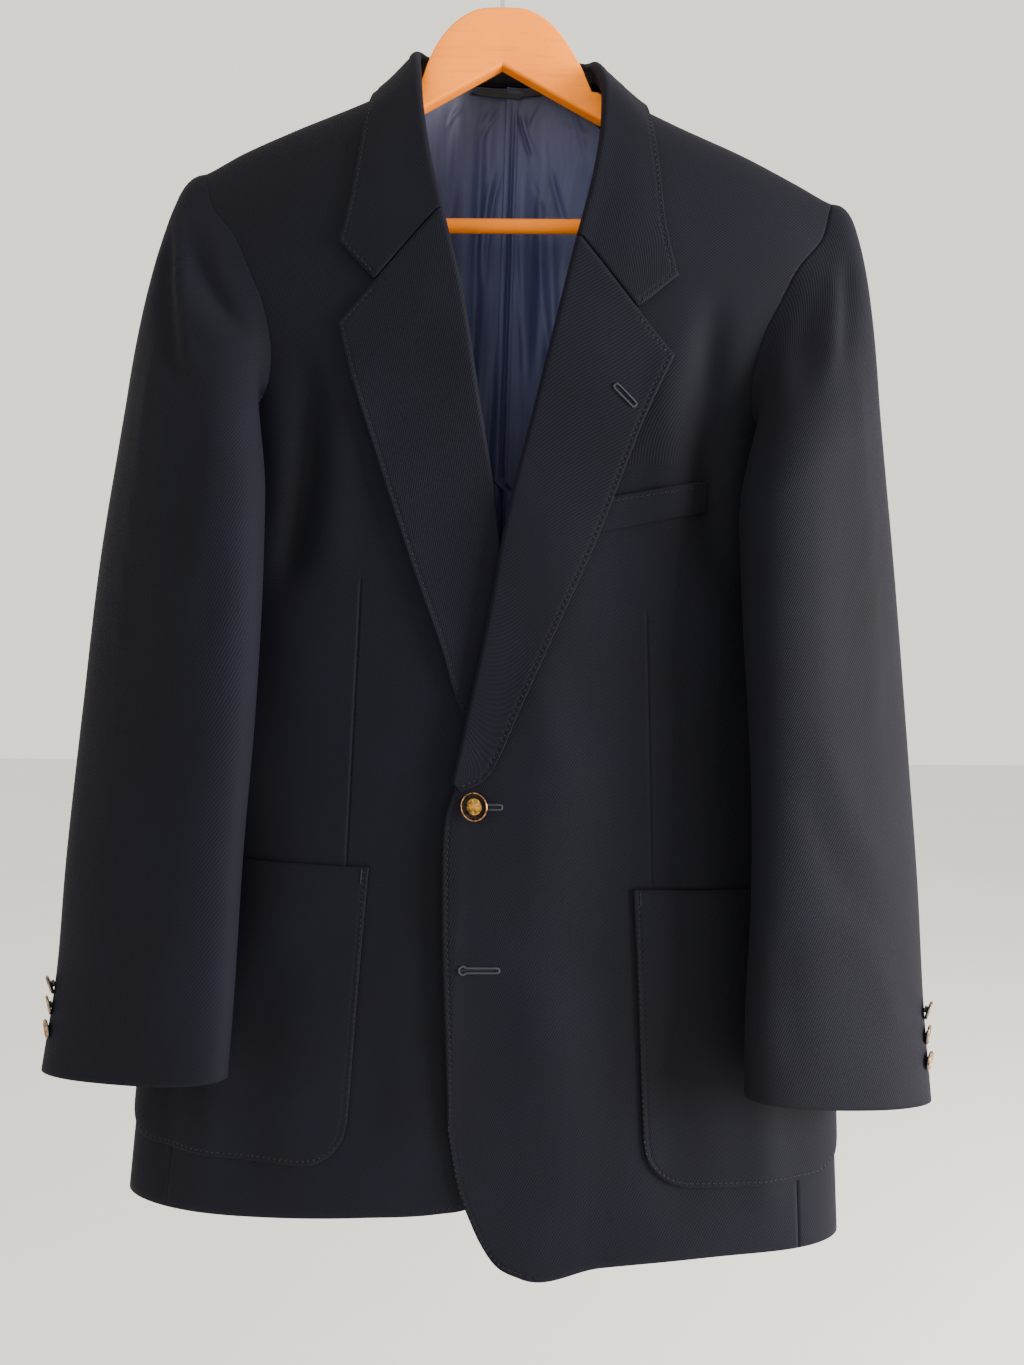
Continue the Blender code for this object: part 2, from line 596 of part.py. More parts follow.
def collarHalf(side, at):
    fold, edge, seam = collarSide(side)
    shares = shareOf(fold)[1]
    foldAt = splinePath(fold, shares, at)
    edgeAt = splinePath(edge, shares, at)
    seamAt = splinePath(seam, shares, at)
    radiusAt = spline(shares, collarRadius, at)
    tangent = unit(lineAt(foldAt, 0))
    rows = []
    top = lapel[side]
    corner = (panelEdge(side, top["rollZ"][0]), top["edgeX"][0])
    notchX = collar[side]["notch"]
    notchZ = np.interp(notchX, corner, (top["rollZ"][0], top["edgeZ"][0]))
    notch = onFront(side, notchX, notchZ, edgeClear + wall / 2)
    fallShare = np.array([0.13, 0.28, 0.47, 0.66, 0.83, 1.0])
    turns = np.radians(np.linspace(270, 90, 19))
    gorgeBend = None
    for i in range(len(at)):
        up = unit(foldAt[i] - (seamAt[i] + edgeAt[i]) / 2)
        hold = 1 - float(ease(shares[1], shares[3], at[i]))
        up = unit(up * (1 - hold) + np.array((-side, 0.0, 0.0)) * hold)
        up = unit(up - tangent[i] * np.dot(up, tangent[i]))
        out = side * np.cross(tangent[i], up)
        radius = radiusAt[i]
        centre = foldAt[i] - up * (radius + wall / 2)
        arc = centre + radius * (np.outer(-np.cos(turns), up) + np.outer(np.sin(turns), out))
        path = np.vstack((seamAt[i], arc))
        lengths = shareOf(path)[0]
        cut = float(np.interp(at[i], shares, standCut))
        wanted = np.linspace(cut, lengths[-1], standColumns)
        stand = np.stack([np.interp(wanted, lengths, path[:, k]) for k in range(3)], -1)
        if i == 0:
            stand = lapelTurn(side, 0, np.linspace(238, 90, standColumns))
        start = stand[-1]
        fall = start + (edgeAt[i] - start) * fallShare[:, None]
        if gorgeBend is None:
            bent = np.where(fallShare[:, None] < 0.67,
                            start + (notch - start) * (fallShare / 0.66)[:, None],
                            notch + (edgeAt[i] - notch) * ((fallShare - 0.66) / 0.34)[:, None])
            gorgeBend = bent - fall
        fall = fall + gorgeBend * (1 - float(ease(0.0, shares[1] * 1.3, at[i]))) ** 1.4
        rows.append(np.vstack((stand, fall)))
    grid = np.array(rows)
    # the fall rests on the fronts and the back, a little clear of them
    fallen = grid[:, standColumns:]
    clear = wall / 2 + fallEdgeClear + (fallClear - fallEdgeClear) * (1 - ease(0.5, 1.0, fallShare))
    x, z = side * fallen[..., 0], fallen[..., 2]
    below = z < ridge(side, x, False) - 1
    for way, finder in ((-1, frontAt), (1, backAt)):
        y = fallen[..., 1]
        phi, v = finder(side, x, z)
        facing = np.maximum(way * bodyNormal(side, phi, v)[..., 1], 0.4)
        rest = way * bodyAt(side, phi, v)[..., 1] + clear / facing
        fallen[..., 1] = np.where(below & (way * y > 0), way * np.maximum(way * y, rest), y)
    top = ridge(side, x, False) + clear + fallEdgeClear
    fallen[..., 2] = np.where(np.abs(fallen[..., 1]) < shoulderReach, np.maximum(z, top), z)
    return grid


def buildCollar(cloth):
    left = collarHalf(1, np.array(collarRows))
    right = collarHalf(-1, np.array(collarRows))
    middle = (left[-1] + right[-1]) / 2
    grid = np.concatenate((left[:-1], middle[None], right[:-1][::-1]))
    # the gorge seam keeps its gap to the lapels
    for row, side in ((0, 1), (-1, -1)):
        grid[row, :, 0] += side * 0.35
        grid[row, :, 2] += 0.5
    addShell("collar", grid, wall, cloth)


def armholeLoop(side, share):
    # the body's armhole: down the front edge, under the arm and up the back edge
    share = np.asarray(share, float)
    vFront = np.clip(share / 150, 0, 1)
    vBack = np.clip((360 - share) / 150, 0, 1)
    front = share <= 150
    back = share >= 210
    under = np.radians(np.clip((share - 150) / 60, 0, 1)) * 55 + frontSeam
    phi = np.where(front, np.radians(spline(armRow, armFront, vFront)),
                   np.where(back, np.radians(spline(armRow, armBack, vBack)), under))
    v = np.where(front, vFront, np.where(back, vBack, 1.0))
    v = np.maximum(v, 0.003)
    return phi, v


def sleeveSection(side, row, angle):
    # one section of the sleeve: a flat loop with its own swell at each face
    table = sleeve[side]
    knots = np.arange(len(table["innerX"]))
    row = np.broadcast_to(row, np.shape(angle))
    read = {key: spline(knots, values, row) for key, values in table.items()}
    inner = np.stack((read["innerX"], read["innerY"], read["innerZ"]), -1)
    outer = np.stack((read["outerX"], read["outerY"], read["outerZ"]), -1)
    centre = (inner + outer) / 2
    chord = (outer - inner) / 2
    forward = unit(np.stack((chord[:, 1], -chord[:, 0], np.zeros(len(chord))), -1))
    turn = np.radians(angle)
    swell = np.where(np.sin(turn) > 0, read["front"], read["back"])
    along = signedPower(np.cos(turn), 0.9)
    lift = signedPower(np.sin(turn), 0.8) * swell
    points = centre + chord * along[:, None] + forward * lift[:, None]
    return points * np.array((side, 1, 1))


def sleeveGrid(side):
    down = 150 * np.array([0.0] + upperRows[1:])
    under = np.linspace(150, 210, sideColumns)[1:-1]
    share = np.concatenate((down, under, 360 - down[:0:-1]))
    phi, v = armholeLoop(side, share)
    skin = bodyAt(side, phi, v) - bodyNormal(side, phi, v) * wall / 2
    normal = bodyNormal(side, phi, v)
    tangent = unit(np.roll(skin, -1, 0) - np.roll(skin, 1, 0))
    away = side * np.cross(normal, tangent)
    firstAngle = spline(sleeveMid["share"], sleeveMid["angle"], share)
    lowAngle = np.interp(share, sleeveLow["share"], sleeveLow["angle"])
    under = np.exp(-((share - 172) / 46) ** 2)
    firstRow = underDrop * np.exp(-((share - 180) / 50) ** 2)
    first = sleeveSection(side, firstRow, firstAngle)
    second = sleeveSection(side, firstRow + 0.35, firstAngle)
    under = under[:, None]
    start = skin + away * (armholeGap + 0.5 * under)
    leave = unit(away * (1 - 0.8 * under) + normal * (0.35 + 1.4 * under)) * (capPull * (1 - 0.65 * under))
    arrive = unit(second - first) * armPull
    rows = []
    for t in np.linspace(0, 1, capRows):
        a = 2 * t ** 3 - 3 * t ** 2 + 1
        b = t ** 3 - 2 * t ** 2 + t
        c = 3 * t ** 2 - 2 * t ** 3
        d = t ** 3 - t ** 2
        rows.append(start * a + leave * b + first * c + arrive * d)
    last = len(sleeve[side]["innerX"]) - 1
    for k in range(1, armRows + 1):
        along = firstRow + (last - firstRow) * k / armRows
        blend = ease(0.2, 2.4, along)
        angle = firstAngle + (lowAngle - firstAngle) * blend
        rows.append(sleeveSection(side, along, angle))
    return np.array(rows)


def buildSleeves(cloth):
    for side, label in sides.items():
        grid = sleeveGrid(side)
        lift = gridNormals(grid, True)
        count = grid.shape[1]
        top = [k % count for k in range(topSleeveFrom, count + topSleeveTo + 1)]
        low = list(range(topSleeveTo, topSleeveFrom + 1))
        for name, columns in (("top", top), ("under", low)):
            part = grid[:, columns].copy()
            first = unit(part[:, 1] - part[:, 0])
            final = unit(part[:, -2] - part[:, -1])
            part[:, 0] += first * seamGap
            part[:, -1] += final * seamGap
            addShell("sleeve_" + label + "_" + name, part, wall, cloth, lift[:, columns])


def buildPockets(cloth):
    for side, label in sides.items():
        table = pocket[side]
        rise = np.array([0.0, 0.12, 0.26, 0.42, 0.58, 0.74, 0.88, 1.0])
        across = np.array([0.0, 0.04, 0.1, 0.18, 0.27, 0.37, 0.48, 0.6, 0.72, 0.84, 0.93, 1.0])
        grid = []
        for down in rise:
            innerX = table["topX"] + (table["lowX"] - table["topX"]) * down
            topPhi, topV = frontAt(side, innerX, table["top"])
            lowPhi, lowV = frontAt(side, innerX, table["bottom"])
            outPhi = math.radians(table["turn"])
            phi = topPhi + (outPhi - topPhi) * across
            width = np.cumsum(np.concatenate(([0], np.linalg.norm(np.diff(
                bodyAt(side, phi, np.full(len(phi), 1.8)), axis=0), axis=1))))
            inset = np.clip(1 - width / pocketCorner, 0, 1)
            outset = np.clip(1 - (width[-1] - width) / pocketCorner, 0, 1)
            corner = np.maximum(inset, outset)
            lifted = pocketCorner * (1 - np.sqrt(1 - corner ** 2))
            bottom = table["bottom"] + lifted
            z = table["top"] + (bottom - table["top"]) * down
            low = underarm[side]
            v = 1 + (z - low) / (hemAt(side, phi) - low)
            lift = pocketLift + pocketWall / 2
            grid.append(bodyAt(side, phi, v) + bodyNormal(side, phi, v) * lift)
        addShell("pocket_" + label, np.array(grid), pocketWall, cloth)


def buildWelt(cloth):
    across = np.linspace(0, 1, 8)
    grid = []
    for down in np.linspace(0, 1, 3):
        ends = {}
        for axis in "XZ":
            ends[axis] = np.array(welt["top" + axis]) * (1 - down) + np.array(welt["low" + axis]) * down
        x = np.interp(across, (0, 1), ends["X"])
        z = np.interp(across, (0, 1), ends["Z"])
        grid.append(onFront(1, x, z, weltLift + weltWall / 2))
    addShell("welt_breast", np.array(grid), weltWall, cloth)


def buttonProfile(radius, thick):
    # from the foot of the shank to the crown of the disc
    start = shankLength
    return [(0, 0), (shankRadius, 0), (shankRadius, start), (radius * 0.9, start + 0.2),
            (radius, start + thick * 0.45), (radius * 0.93, start + thick * 0.85),
            (radius * 0.8, start + thick * 0.8), (0, start + thick)]


def cuffSpot(side, z):
    # the point of the sleeve that reaches farthest along the buttons' way out, at a height
    last = len(sleeve[side]["innerX"]) - 1
    low, high = 1.0, float(last)
    for turn in range(30):
        row = (low + high) / 2
        if sleeveSection(side, row, np.array([0.0]))[0, 2] > z:
            low = row
        else:
            high = row
    out = unit(np.array((side * cuffButtonWay[0], cuffButtonWay[1], 0.0)))
    spots = sleeveSection(side, row, np.linspace(0.0, 50.0, 51))
    return spots[np.argmax(spots @ out)], out


def buildButtons(metal):
    seat = seamGap
    spot = onFront(1, frontButton["x"], frontButton["z"], 0.0)
    normal = bodyNormal(1, *frontAt(1, frontButton["x"], frontButton["z"]))
    profile = buttonProfile(frontButton["radius"], frontButton["thick"])
    addTurned("button_front_upper", spot + normal * seat, normal, profile, 20, metal)
    spot = onFront(-1, lowerButton["x"], lowerButton["z"], 0.0)
    normal = bodyNormal(-1, *frontAt(-1, lowerButton["x"], lowerButton["z"]))
    addTurned("button_front_lower", spot + normal * seat, normal, profile, 20, metal)
    profile = buttonProfile(cuffButton["radius"], cuffButton["thick"])
    for side, label in sides.items():
        for k, z in enumerate(cuffButtonZ[side]):
            spot, out = cuffSpot(side, z)
            addTurned("button_cuff_%s_%d" % (label, k + 1), spot + out * (wall / 2 + cuffButton["stand"]),
                      out, profile, 16, metal)


def buildLining(satin, tape):
    out = np.linspace(-1, 1, 17)
    grid = []
    for level, reach in zip(liningZ, liningReach):
        line = []
        soft = float(ease(10, -90, level))
        for s in out:
            side = 1 if s >= 0 else -1
            middle = float(centreBack(side, 1.0 if level < underarm[side] else 0.5))
            x = middle + abs(s) * (reach - middle)
            z = level - liningSag * s * s * (1 - soft)
            phi, v = backAt(side, x, z)
            fold = liningFold * math.sin(s * 17.0) * soft * (1 - abs(s) ** 4)
            pleat = liningPleat * math.exp(-(s / 0.1) ** 2) * soft
            depth = wall + liningWall / 2 + 3.0 + (liningInset - 3.0) * soft + fold + pleat
            line.append(bodyAt(side, phi, v) - bodyNormal(side, phi, v) * depth)
        grid.append(line)
    addShell("lining_back", np.array(grid), liningWall, satin)
    strip = []
    for down in (0.0, 0.5, 1.0):
        line = []
        for s in np.linspace(-1, 1, 9):
            x = neckMiddle + s * loopHalf
            side = 1 if x >= 0 else -1
            v = float(neckRow(side, side * x)) + 0.03
            phi = backPhi(side, side * x, v)
            depth = wall + loopInset + loopBow * (1 - s * s)
            spot = bodyAt(side, phi, v) - bodyNormal(side, phi, v) * depth
            spot[2] += loopHigh * (0.5 - down) + 1.0
            line.append(spot)
        strip.append(line)
    addShell("hanger_loop", np.array(strip), loopWall, tape)


def clothTop(x):
    # underside of the lower of the two shoulders, in the hanger's level frame
    heights = []
    for side in sides:
        local = np.linspace(0, 262, 400)
        top = toWorld(np.stack((side * local, np.zeros(400), ridge(side, local, False)), -1))
        order = np.argsort(side * top[:, 0])
        heights.append(np.interp(x, (side * top[:, 0])[order], top[order, 2]))
    return np.minimum(heights[0], heights[1]) - wall


def buildHanger(wood, steel):
    arm = np.linspace(68.0, hanger["end"] - tipChamfer, 11)
    tip = clothTop(hanger["end"]) - armDrop - tipChamfer
    extra = hanger["lowX"][-3:-1]
    halves = {}
    for side in sides:
        xs = np.concatenate((hanger[side]["x"], arm, [hanger["end"]]))
        tops = np.concatenate((hanger[side]["top"], clothTop(arm) - armDrop, [tip]))
        lows = np.interp(xs, hanger["lowX"], hanger["low"])
        lows[-1] += tipChamfer
        tops = np.concatenate((tops, np.interp(extra, xs, tops)))
        lows = np.concatenate((lows, np.interp(extra, hanger["lowX"], hanger["low"])))
        xs = np.concatenate((xs, extra))
        order = np.argsort(xs)
        halves[side] = np.stack((side * xs, tops, lows))[:, order]
    xs, tops, lows = np.concatenate((halves[-1][:, ::-1], halves[1][:, 1:]), 1)
    half = hanger["thick"] / 2
    soft = hanger["soft"]
    points = []
    for x, top, low in zip(xs, tops, lows):
        for y, z in ((-half, low + soft), (-half, top - soft), (soft - half, top), (half - soft, top),
                     (half, top - soft), (half, low + soft), (half - soft, low), (soft - half, low)):
            points.append((x, y, z))
    faces = []
    count = len(xs)
    for i in range(count - 1):
        for j in range(8):
            k = (j + 1) % 8
            faces.append((i * 8 + j, i * 8 + k, (i + 1) * 8 + k, (i + 1) * 8 + j))
    faces.append(tuple(range(7, -1, -1)))
    faces.append(tuple((count - 1) * 8 + j for j in range(8)))
    body = addSolid("hanger_body", np.array(points), faces, wood, hang=False)

    for side in sides:
        cutter("bore_bar_" + sides[side], body, (side * (192.0 + bar["reach"] + 1.0) / 2, 0, bar["z"]),
               (0, math.pi / 2, 0), bar["spigot"] + seamGap, bar["reach"] + 1.0 - 186.0)
    cutter("bore_hook", body, (0, 0, hanger[1]["top"][0] - hook["sink"] / 2 + 2.0), (0, 0, 0),
           hook["wire"] + seamGap, hook["sink"] + 5.0)

    profile = [(0, -bar["reach"]), (bar["spigot"], -bar["reach"]), (bar["spigot"], -bar["half"] - 0.4),
               (bar["radius"], -bar["half"] + 0.3), (bar["radius"], bar["half"] - 0.3),
               (bar["spigot"], bar["half"] + 0.4), (bar["spigot"], bar["reach"]), (0, bar["reach"])]
    addTurned("hanger_bar", (0, 0, bar["z"]), (1, 0, 0), profile, 16, wood, hang=False)

    middle = hook["inner"]
    radius = middle + hook["wire"]
    foot = hanger[1]["top"][0] - hook["sink"] + 2.5
    route = [(0.0, foot), (0.0, foot + 18.5), (0.3, -56.0), (4.0, -46.5)]
    for degree in range(-52, 193, 12):
        turn = math.radians(degree)
        route.append((radius * math.cos(turn), -middle + radius * math.sin(turn)))
    addWire("hanger_hook", route, hook["wire"], steel)


def cutter(name, target, centre, turn, radius, depth):
    bpy.ops.mesh.primitive_cylinder_add(vertices=16, radius=radius * mm, depth=depth * mm,
                                        location=[c * mm for c in centre], rotation=turn)
    tool = bpy.context.object
    tool.name = name
    tool.hide_render = True
    tool.display_type = "WIRE"
    cut = target.modifiers.new(name, "BOOLEAN")
    cut.operation = "DIFFERENCE"
    cut.solver = "EXACT"
    cut.object = tool


def addWire(name, route, radius, finish):
    # a round wire along a route that stays in the hanger's plane
    route = np.array([(x, 0.0, z) for x, z in route])
    ahead = unit(lineAt(route, 0))
    aside = np.array((0.0, 1.0, 0.0))
    turns = 2 * math.pi * np.arange(wireSides) / wireSides
    points = []
    for spot, way in zip(route, ahead):
        ring = np.outer(np.cos(turns), aside) + np.outer(np.sin(turns), np.cross(way, aside))
        points.extend(spot + radius * ring)
    faces = []
    for i in range(len(route) - 1):
        for j in range(wireSides):
            k = (j + 1) % wireSides
            a, b = i * wireSides, (i + 1) * wireSides
            faces.append((a + j, a + k, b + k, b + j))
    faces.append(tuple(range(wireSides - 1, -1, -1)))
    faces.append(tuple((len(route) - 1) * wireSides + j for j in range(wireSides)))
    return addSolid(name, np.array(points), faces, finish, hang=False)


def main():
    for old in list(bpy.data.objects):
        bpy.data.objects.remove(old, do_unlink=True)
    cloth = material("navy_wool", "#1c1d29", 0.85)
    satin = material("navy_satin", "#2b2e4d", 0.4)
    tape = material("grey_green_tape", "#3c423c", 0.7)
    metal = material("antique_brass", "#8a6c3a", 0.4, 0.9)
    wood = material("lacquered_beech", "#e8b273", 0.35)
    steel = material("steel_wire", "#b9bbbe", 0.3, 1.0)
    buildBody(cloth)
    buildLapels(cloth)
    buildCollar(cloth)
    buildSleeves(cloth)
    buildPockets(cloth)
    buildWelt(cloth)
    buildButtons(metal)
    buildLining(satin, tape)
    buildHanger(wood, steel)


main()
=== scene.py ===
import math

import bpy
import numpy as np
from mathutils import Matrix


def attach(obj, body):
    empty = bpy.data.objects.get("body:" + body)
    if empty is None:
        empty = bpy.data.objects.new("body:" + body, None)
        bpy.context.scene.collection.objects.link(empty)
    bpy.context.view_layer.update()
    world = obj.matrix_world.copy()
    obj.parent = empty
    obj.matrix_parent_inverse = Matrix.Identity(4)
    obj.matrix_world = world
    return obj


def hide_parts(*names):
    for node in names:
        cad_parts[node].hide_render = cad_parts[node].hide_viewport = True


# A navy single breasted two-button blazer hanging on a plain wooden hanger.
# Shapes are worked out in millimetres and put into the scene in metres, +Z up.
# The front faces -Y and the garment's own left side is at +X.
# A side is +1 for the garment's left and -1 for its right; tables for one side
# count x outwards from the garment's middle.

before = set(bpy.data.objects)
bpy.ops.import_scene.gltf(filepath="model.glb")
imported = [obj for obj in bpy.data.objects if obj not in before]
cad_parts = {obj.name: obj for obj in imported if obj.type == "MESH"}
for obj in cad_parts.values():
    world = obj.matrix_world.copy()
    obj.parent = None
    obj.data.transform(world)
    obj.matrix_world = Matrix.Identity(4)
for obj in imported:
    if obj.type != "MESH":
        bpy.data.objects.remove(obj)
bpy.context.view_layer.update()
print("frame loaded")

mm = 0.001
sides = {1: "left", -1: "right"}

# how the garment hangs on its level hanger, and the thickness of its layers
hang = {"tilt": math.radians(1.8), "x": 14.6, "z": -135.0}
cloth = {"wall": 1.8, "seam": 0.02, "lining": 1.0, "pocket": 1.6, "rim": 0.45, "sewnRim": 0.18}
wall = cloth["wall"]

# body: v is 0 at the shoulder, 1 at the underarm, 2 at the hem; phi is the angle round it
body = {
    "at": [0.0, 0.5, 1.0, 1.35, 1.65, 2.0],
    "half": [262.0, 250.0, 236.0, 238.0, 253.0, 268.5],
    "skew": [0.0, 0.0, 0.0, 0.0, 1.5, 2.5],
    "front": [60.0, 61.0, 60.0, 57.0, 57.0, 60.0],
    "back": [50.0, 52.0, 55.0, 54.0, 54.0, 56.0],
    "round": 2.2, "crown": 2.2, "underarm": {1: -270.0, -1: -260.0},
    "frontSeam": math.radians(58), "backSeam": math.radians(113),
    "upperRows": [0.003, 0.1, 0.22, 0.36, 0.5, 0.62, 0.74, 0.85, 0.93, 1.0],
    "lowerRows": [1.08, 1.17, 1.27, 1.37, 1.47, 1.57, 1.67, 1.77, 1.86, 1.93, 2.0],
    "frontShare": [0.0, 0.03, 0.07, 0.12, 0.19, 0.27, 0.36, 0.46, 0.57, 0.68, 0.79, 0.9, 1.0],
    "finer": 6, "sideColumns": 37, "backColumns": 72,
}

# shoulder line: x outwards, height
ridgeX = [0.0, 57.0, 86.6, 110.0, 165.0, 200.0, 228.0, 242.0, 262.0]
ridgeZ = {1: [24.0, 6.0, -8.0, -18.0, -39.8, -56.0, -69.0, -72.0, -76.0],
          -1: [37.0, 16.0, 2.0, -9.5, -33.5, -50.0, -65.5, -70.5, -76.0]}
neck = {"middle": -12.0, "half": 68.5, "rise": 45.0,
        "at": [0.0, 30.0, 50.0, 60.0, 68.5], "height": [20.0, 17.5, 11.0, 9.0, 6.0]}

# armhole: row, angle round the body at the front and at the back
armhole = {
    "row": [0.0, 0.25, 0.436, 0.587, 0.686, 0.752, 0.8, 0.87, 0.93, 0.97, 1.0],
    "front": [59.1, 59.0, 57.4, 50.7, 47.3, 44.6, 43.3, 42.4, 44.5, 50.0, 58.0],
    "back": [120.9, 121.2, 120.8, 124.5, 127.0, 128.2, 129.0, 129.3, 127.0, 120.0, 113.0],
}

# roll line, then the free front edge below the break: height, x outwards
edgeZ = {1: [-770.0, -735.0, -677.0, -572.0, -523.0, -465.0, -393.0, -298.0, -240.0, -182.0,
             -119.0, -78.0, -29.5, 0.0, 24.0],
         -1: [-770.0, -720.0, -660.0, -572.0, -505.0, -460.0, -390.0, -298.0, -231.0, -165.0,
              -104.0, -66.0, -28.0, 0.0, 27.0]}
edgeX = {1: [-22.0, -24.0, -27.8, -34.0, -34.4, -25.0, -12.0, 2.6, 15.0, 27.2,
             40.3, 49.5, 55.3, 54.0, 49.5],
         -1: [-20.0, -22.0, -25.0, -27.0, -24.0, -18.0, -6.0, 6.9, 20.3, 33.0,
              49.5, 60.0, 67.5, 72.0, 74.8]}
breakZ = {1: -510.0, -1: -505.0}

# hem: x outwards at the front, height; the last heights serve the side and the back
hem = {"x": [-24.0, -17.7, -6.0, 8.8, 30.4, 86.0, 157.0, 234.0, 268.0],
       1: [-735.0, -769.0, -801.6, -828.0, -841.0, -834.5, -829.0, -828.0, -828.0],
       -1: [-720.0, -756.0, -785.0, -794.0, -799.0, -804.5, -811.0, -815.0, -815.0],
       "back": -822.0}

# how far the left front stands over the right one
lap = {"z": [-860.0, -760.0, -690.0, -600.0, -500.0, -400.0, -320.0, -230.0],
       "lift": [3.6, 3.8, 7.4, 8.4, 7.8, 6.6, 5.6, 0.0], "full": 25.0, "none": 90.0}

# lapels from the gorge down: height of the roll, x outwards and height of the free edge beside it,
# and the gaps under both
lapel = {
    1: {"rollZ": [-119.0, -182.0, -240.0, -298.0, -393.0, -465.0, -494.0],
        "edgeX": [110.2, 88.7, 64.3, 39.6, 14.8, -3.7, -25.0],
        "edgeZ": [-195.6, -247.0, -316.0, -378.0, -440.0, -484.0, -499.0],
        "rollGap": [3.2, 3.2, 3.2, 3.0, 2.6, 2.0, 1.2],
        "edgeGap": [1.6, 2.6, 2.6, 2.0, 1.4, 1.0, 0.8]},
    -1: {"rollZ": [-104.0, -165.0, -231.0, -298.0, -390.0, -460.0, -485.0],
         "edgeX": [118.7, 107.9, 88.3, 64.0, 41.3, 24.5, -8.0],
         "edgeZ": [-182.0, -220.0, -274.0, -341.0, -398.0, -445.0, -490.0],
         "rollGap": [3.2, 3.2, 3.0, 1.4, 0.8, 0.8, 0.8],
         "edgeGap": [1.6, 1.4, 1.2, 0.8, 0.8, 0.8, 0.8]},
}
lapelGrid = {"rows": 90, "turnColumns": 14, "acrossColumns": 44, "reach": 0.994, "turn": (218, 90),
             "rollClear": 0.3, "spring": {1: 1.5, -1: 4.0}}

# soft troughs (depth below 0) and ridges of the body: side, front or back, the ends of
# the line as x outwards and height, its bow, its width and its depth
bodyCreases = [
    (-1, "front", 143.0, -190.0, 158.0, -376.0, 11.5, 11.0, -5.5),
    (-1, "front", 112.0, -215.0, 122.0, -372.0, 2.0, 15.0, 2.2),
    (-1, "front", 196.0, -330.0, 168.0, -560.0, -8.0, 22.0, 1.6),
    (-1, "front", 60.0, -560.0, 52.0, -800.0, 4.0, 24.0, 1.5),
    (-1, "front", 150.0, -590.0, 162.0, -812.0, -5.0, 20.0, -1.8),
    (-1, "front", 196.0, -640.0, 205.0, -815.0, 3.0, 14.0, 1.7),
    (-1, "front", 226.0, -660.0, 236.0, -815.0, 2.0, 11.0, -1.6),
    (1, "front", 138.0, -135.0, 152.0, -365.0, 7.0, 12.0, -4.8),
    (1, "front", 108.0, -180.0, 116.0, -330.0, 4.0, 13.0, 1.8),
    (1, "front", 172.0, -300.0, 184.0, -640.0, 10.0, 20.0, -1.8),
    (1, "front", 40.0, -600.0, 62.0, -830.0, -6.0, 26.0, 1.6),
    (1, "front", 128.0, -640.0, 150.0, -826.0, 6.0, 22.0, -1.5),
    (1, "front", 196.0, -640.0, 212.0, -826.0, 3.0, 16.0, 1.6),
    (1, "front", 22.0, -390.0, 70.0, -520.0, 9.0, 18.0, 1.1),
    (1, "back", 120.0, -160.0, 150.0, -420.0, 8.0, 20.0, -2.2),
    (1, "back", 60.0, -120.0, 78.0, -520.0, -8.0, 26.0, 1.6),
    (1, "back", 170.0, -420.0, 186.0, -800.0, 6.0, 20.0, -1.8),
    (1, "back", 92.0, -520.0, 110.0, -815.0, -5.0, 24.0, 1.6),
    (-1, "back", 126.0, -170.0, 148.0, -400.0, 8.0, 18.0, -2.4),
    (-1, "back", 70.0, -110.0, 66.0, -480.0, 7.0, 24.0, 1.5),
    (-1, "back", 160.0, -440.0, 180.0, -790.0, -6.0, 22.0, -1.7),
    (-1, "back", 84.0, -560.0, 96.0, -812.0, 5.0, 24.0, 1.5),
    (-1, "back", 24.0, 0.0, 110.0, -30.0, -6.0, 9.0, -1.2),
    (1, "back", 30.0, -8.0, 112.0, -42.0, -6.0, 9.0, -1.0),
]
# a slow wave all over the body: its height, its two lengths and how each leans on the other way's
# place; and how much the creases are deepened
roll = {"size": 0.6, "high": 173.0, "wide": 121.0, "leanHigh": 310.0, "leanWide": 90.0, "deeper": 1.35}


def spline(knots, values, at):
    # smooth curve through a table, its ends held
    knots, values = np.asarray(knots, float), np.asarray(values, float)
    at = np.clip(np.asarray(at, float), knots[0], knots[-1])
    slope = np.gradient(values, knots)
    i = np.clip(np.searchsorted(knots, at, side="right") - 1, 0, len(knots) - 2)
    span = knots[i + 1] - knots[i]
    t = (at - knots[i]) / span
    rise = (2 * t ** 3 - 3 * t ** 2 + 1) * values[i] + (3 * t ** 2 - 2 * t ** 3) * values[i + 1]
    bend = (t ** 3 - 2 * t ** 2 + t) * slope[i] + (t ** 3 - t ** 2) * slope[i + 1]
    return rise + span * bend


def ease(low, high, at):
    # 0 below low, 1 above high, smooth between them
    t = np.clip((np.asarray(at, float) - low) / (high - low), 0, 1)
    return t * t * (3 - 2 * t)


def signedPower(value, power):
    return np.sign(value) * np.abs(value) ** power


def unit(vectors):
    return vectors / np.maximum(np.linalg.norm(vectors, axis=-1, keepdims=True), 1e-9)


def finer(values, factor):
    # the same table with more steps between its values
    count = (len(values) - 1) * factor + 1
    return np.interp(np.linspace(0, len(values) - 1, count), np.arange(len(values)), values)


def ridge(side, x, back):
    # height of the shoulder line, with the back of the neck raised in a cosine bump
    top = spline(ridgeX, ridgeZ[side], np.abs(x))
    fromNeck = np.abs(side * x - neck["middle"]) / neck["half"]
    raised = top + neck["rise"] * np.cos(np.clip(fromNeck, 0, 1) * math.pi / 2) ** 2
    return np.where(back, raised, top)


def halfAt(side, v):
    return spline(body["at"], body["half"], v) + side * spline(body["at"], body["skew"], v)


def hemAt(side, phi):
    x = (body["half"][-1] + side * body["skew"][-1]) * signedPower(np.sin(phi), 2 / body["round"])
    front = spline(hem["x"], hem[side], x)
    behind = hem["back"] + (hem[side][-1] - hem["back"]) * ease(60, 250, np.abs(x))
    return np.where(np.cos(phi) > 0, front, behind)


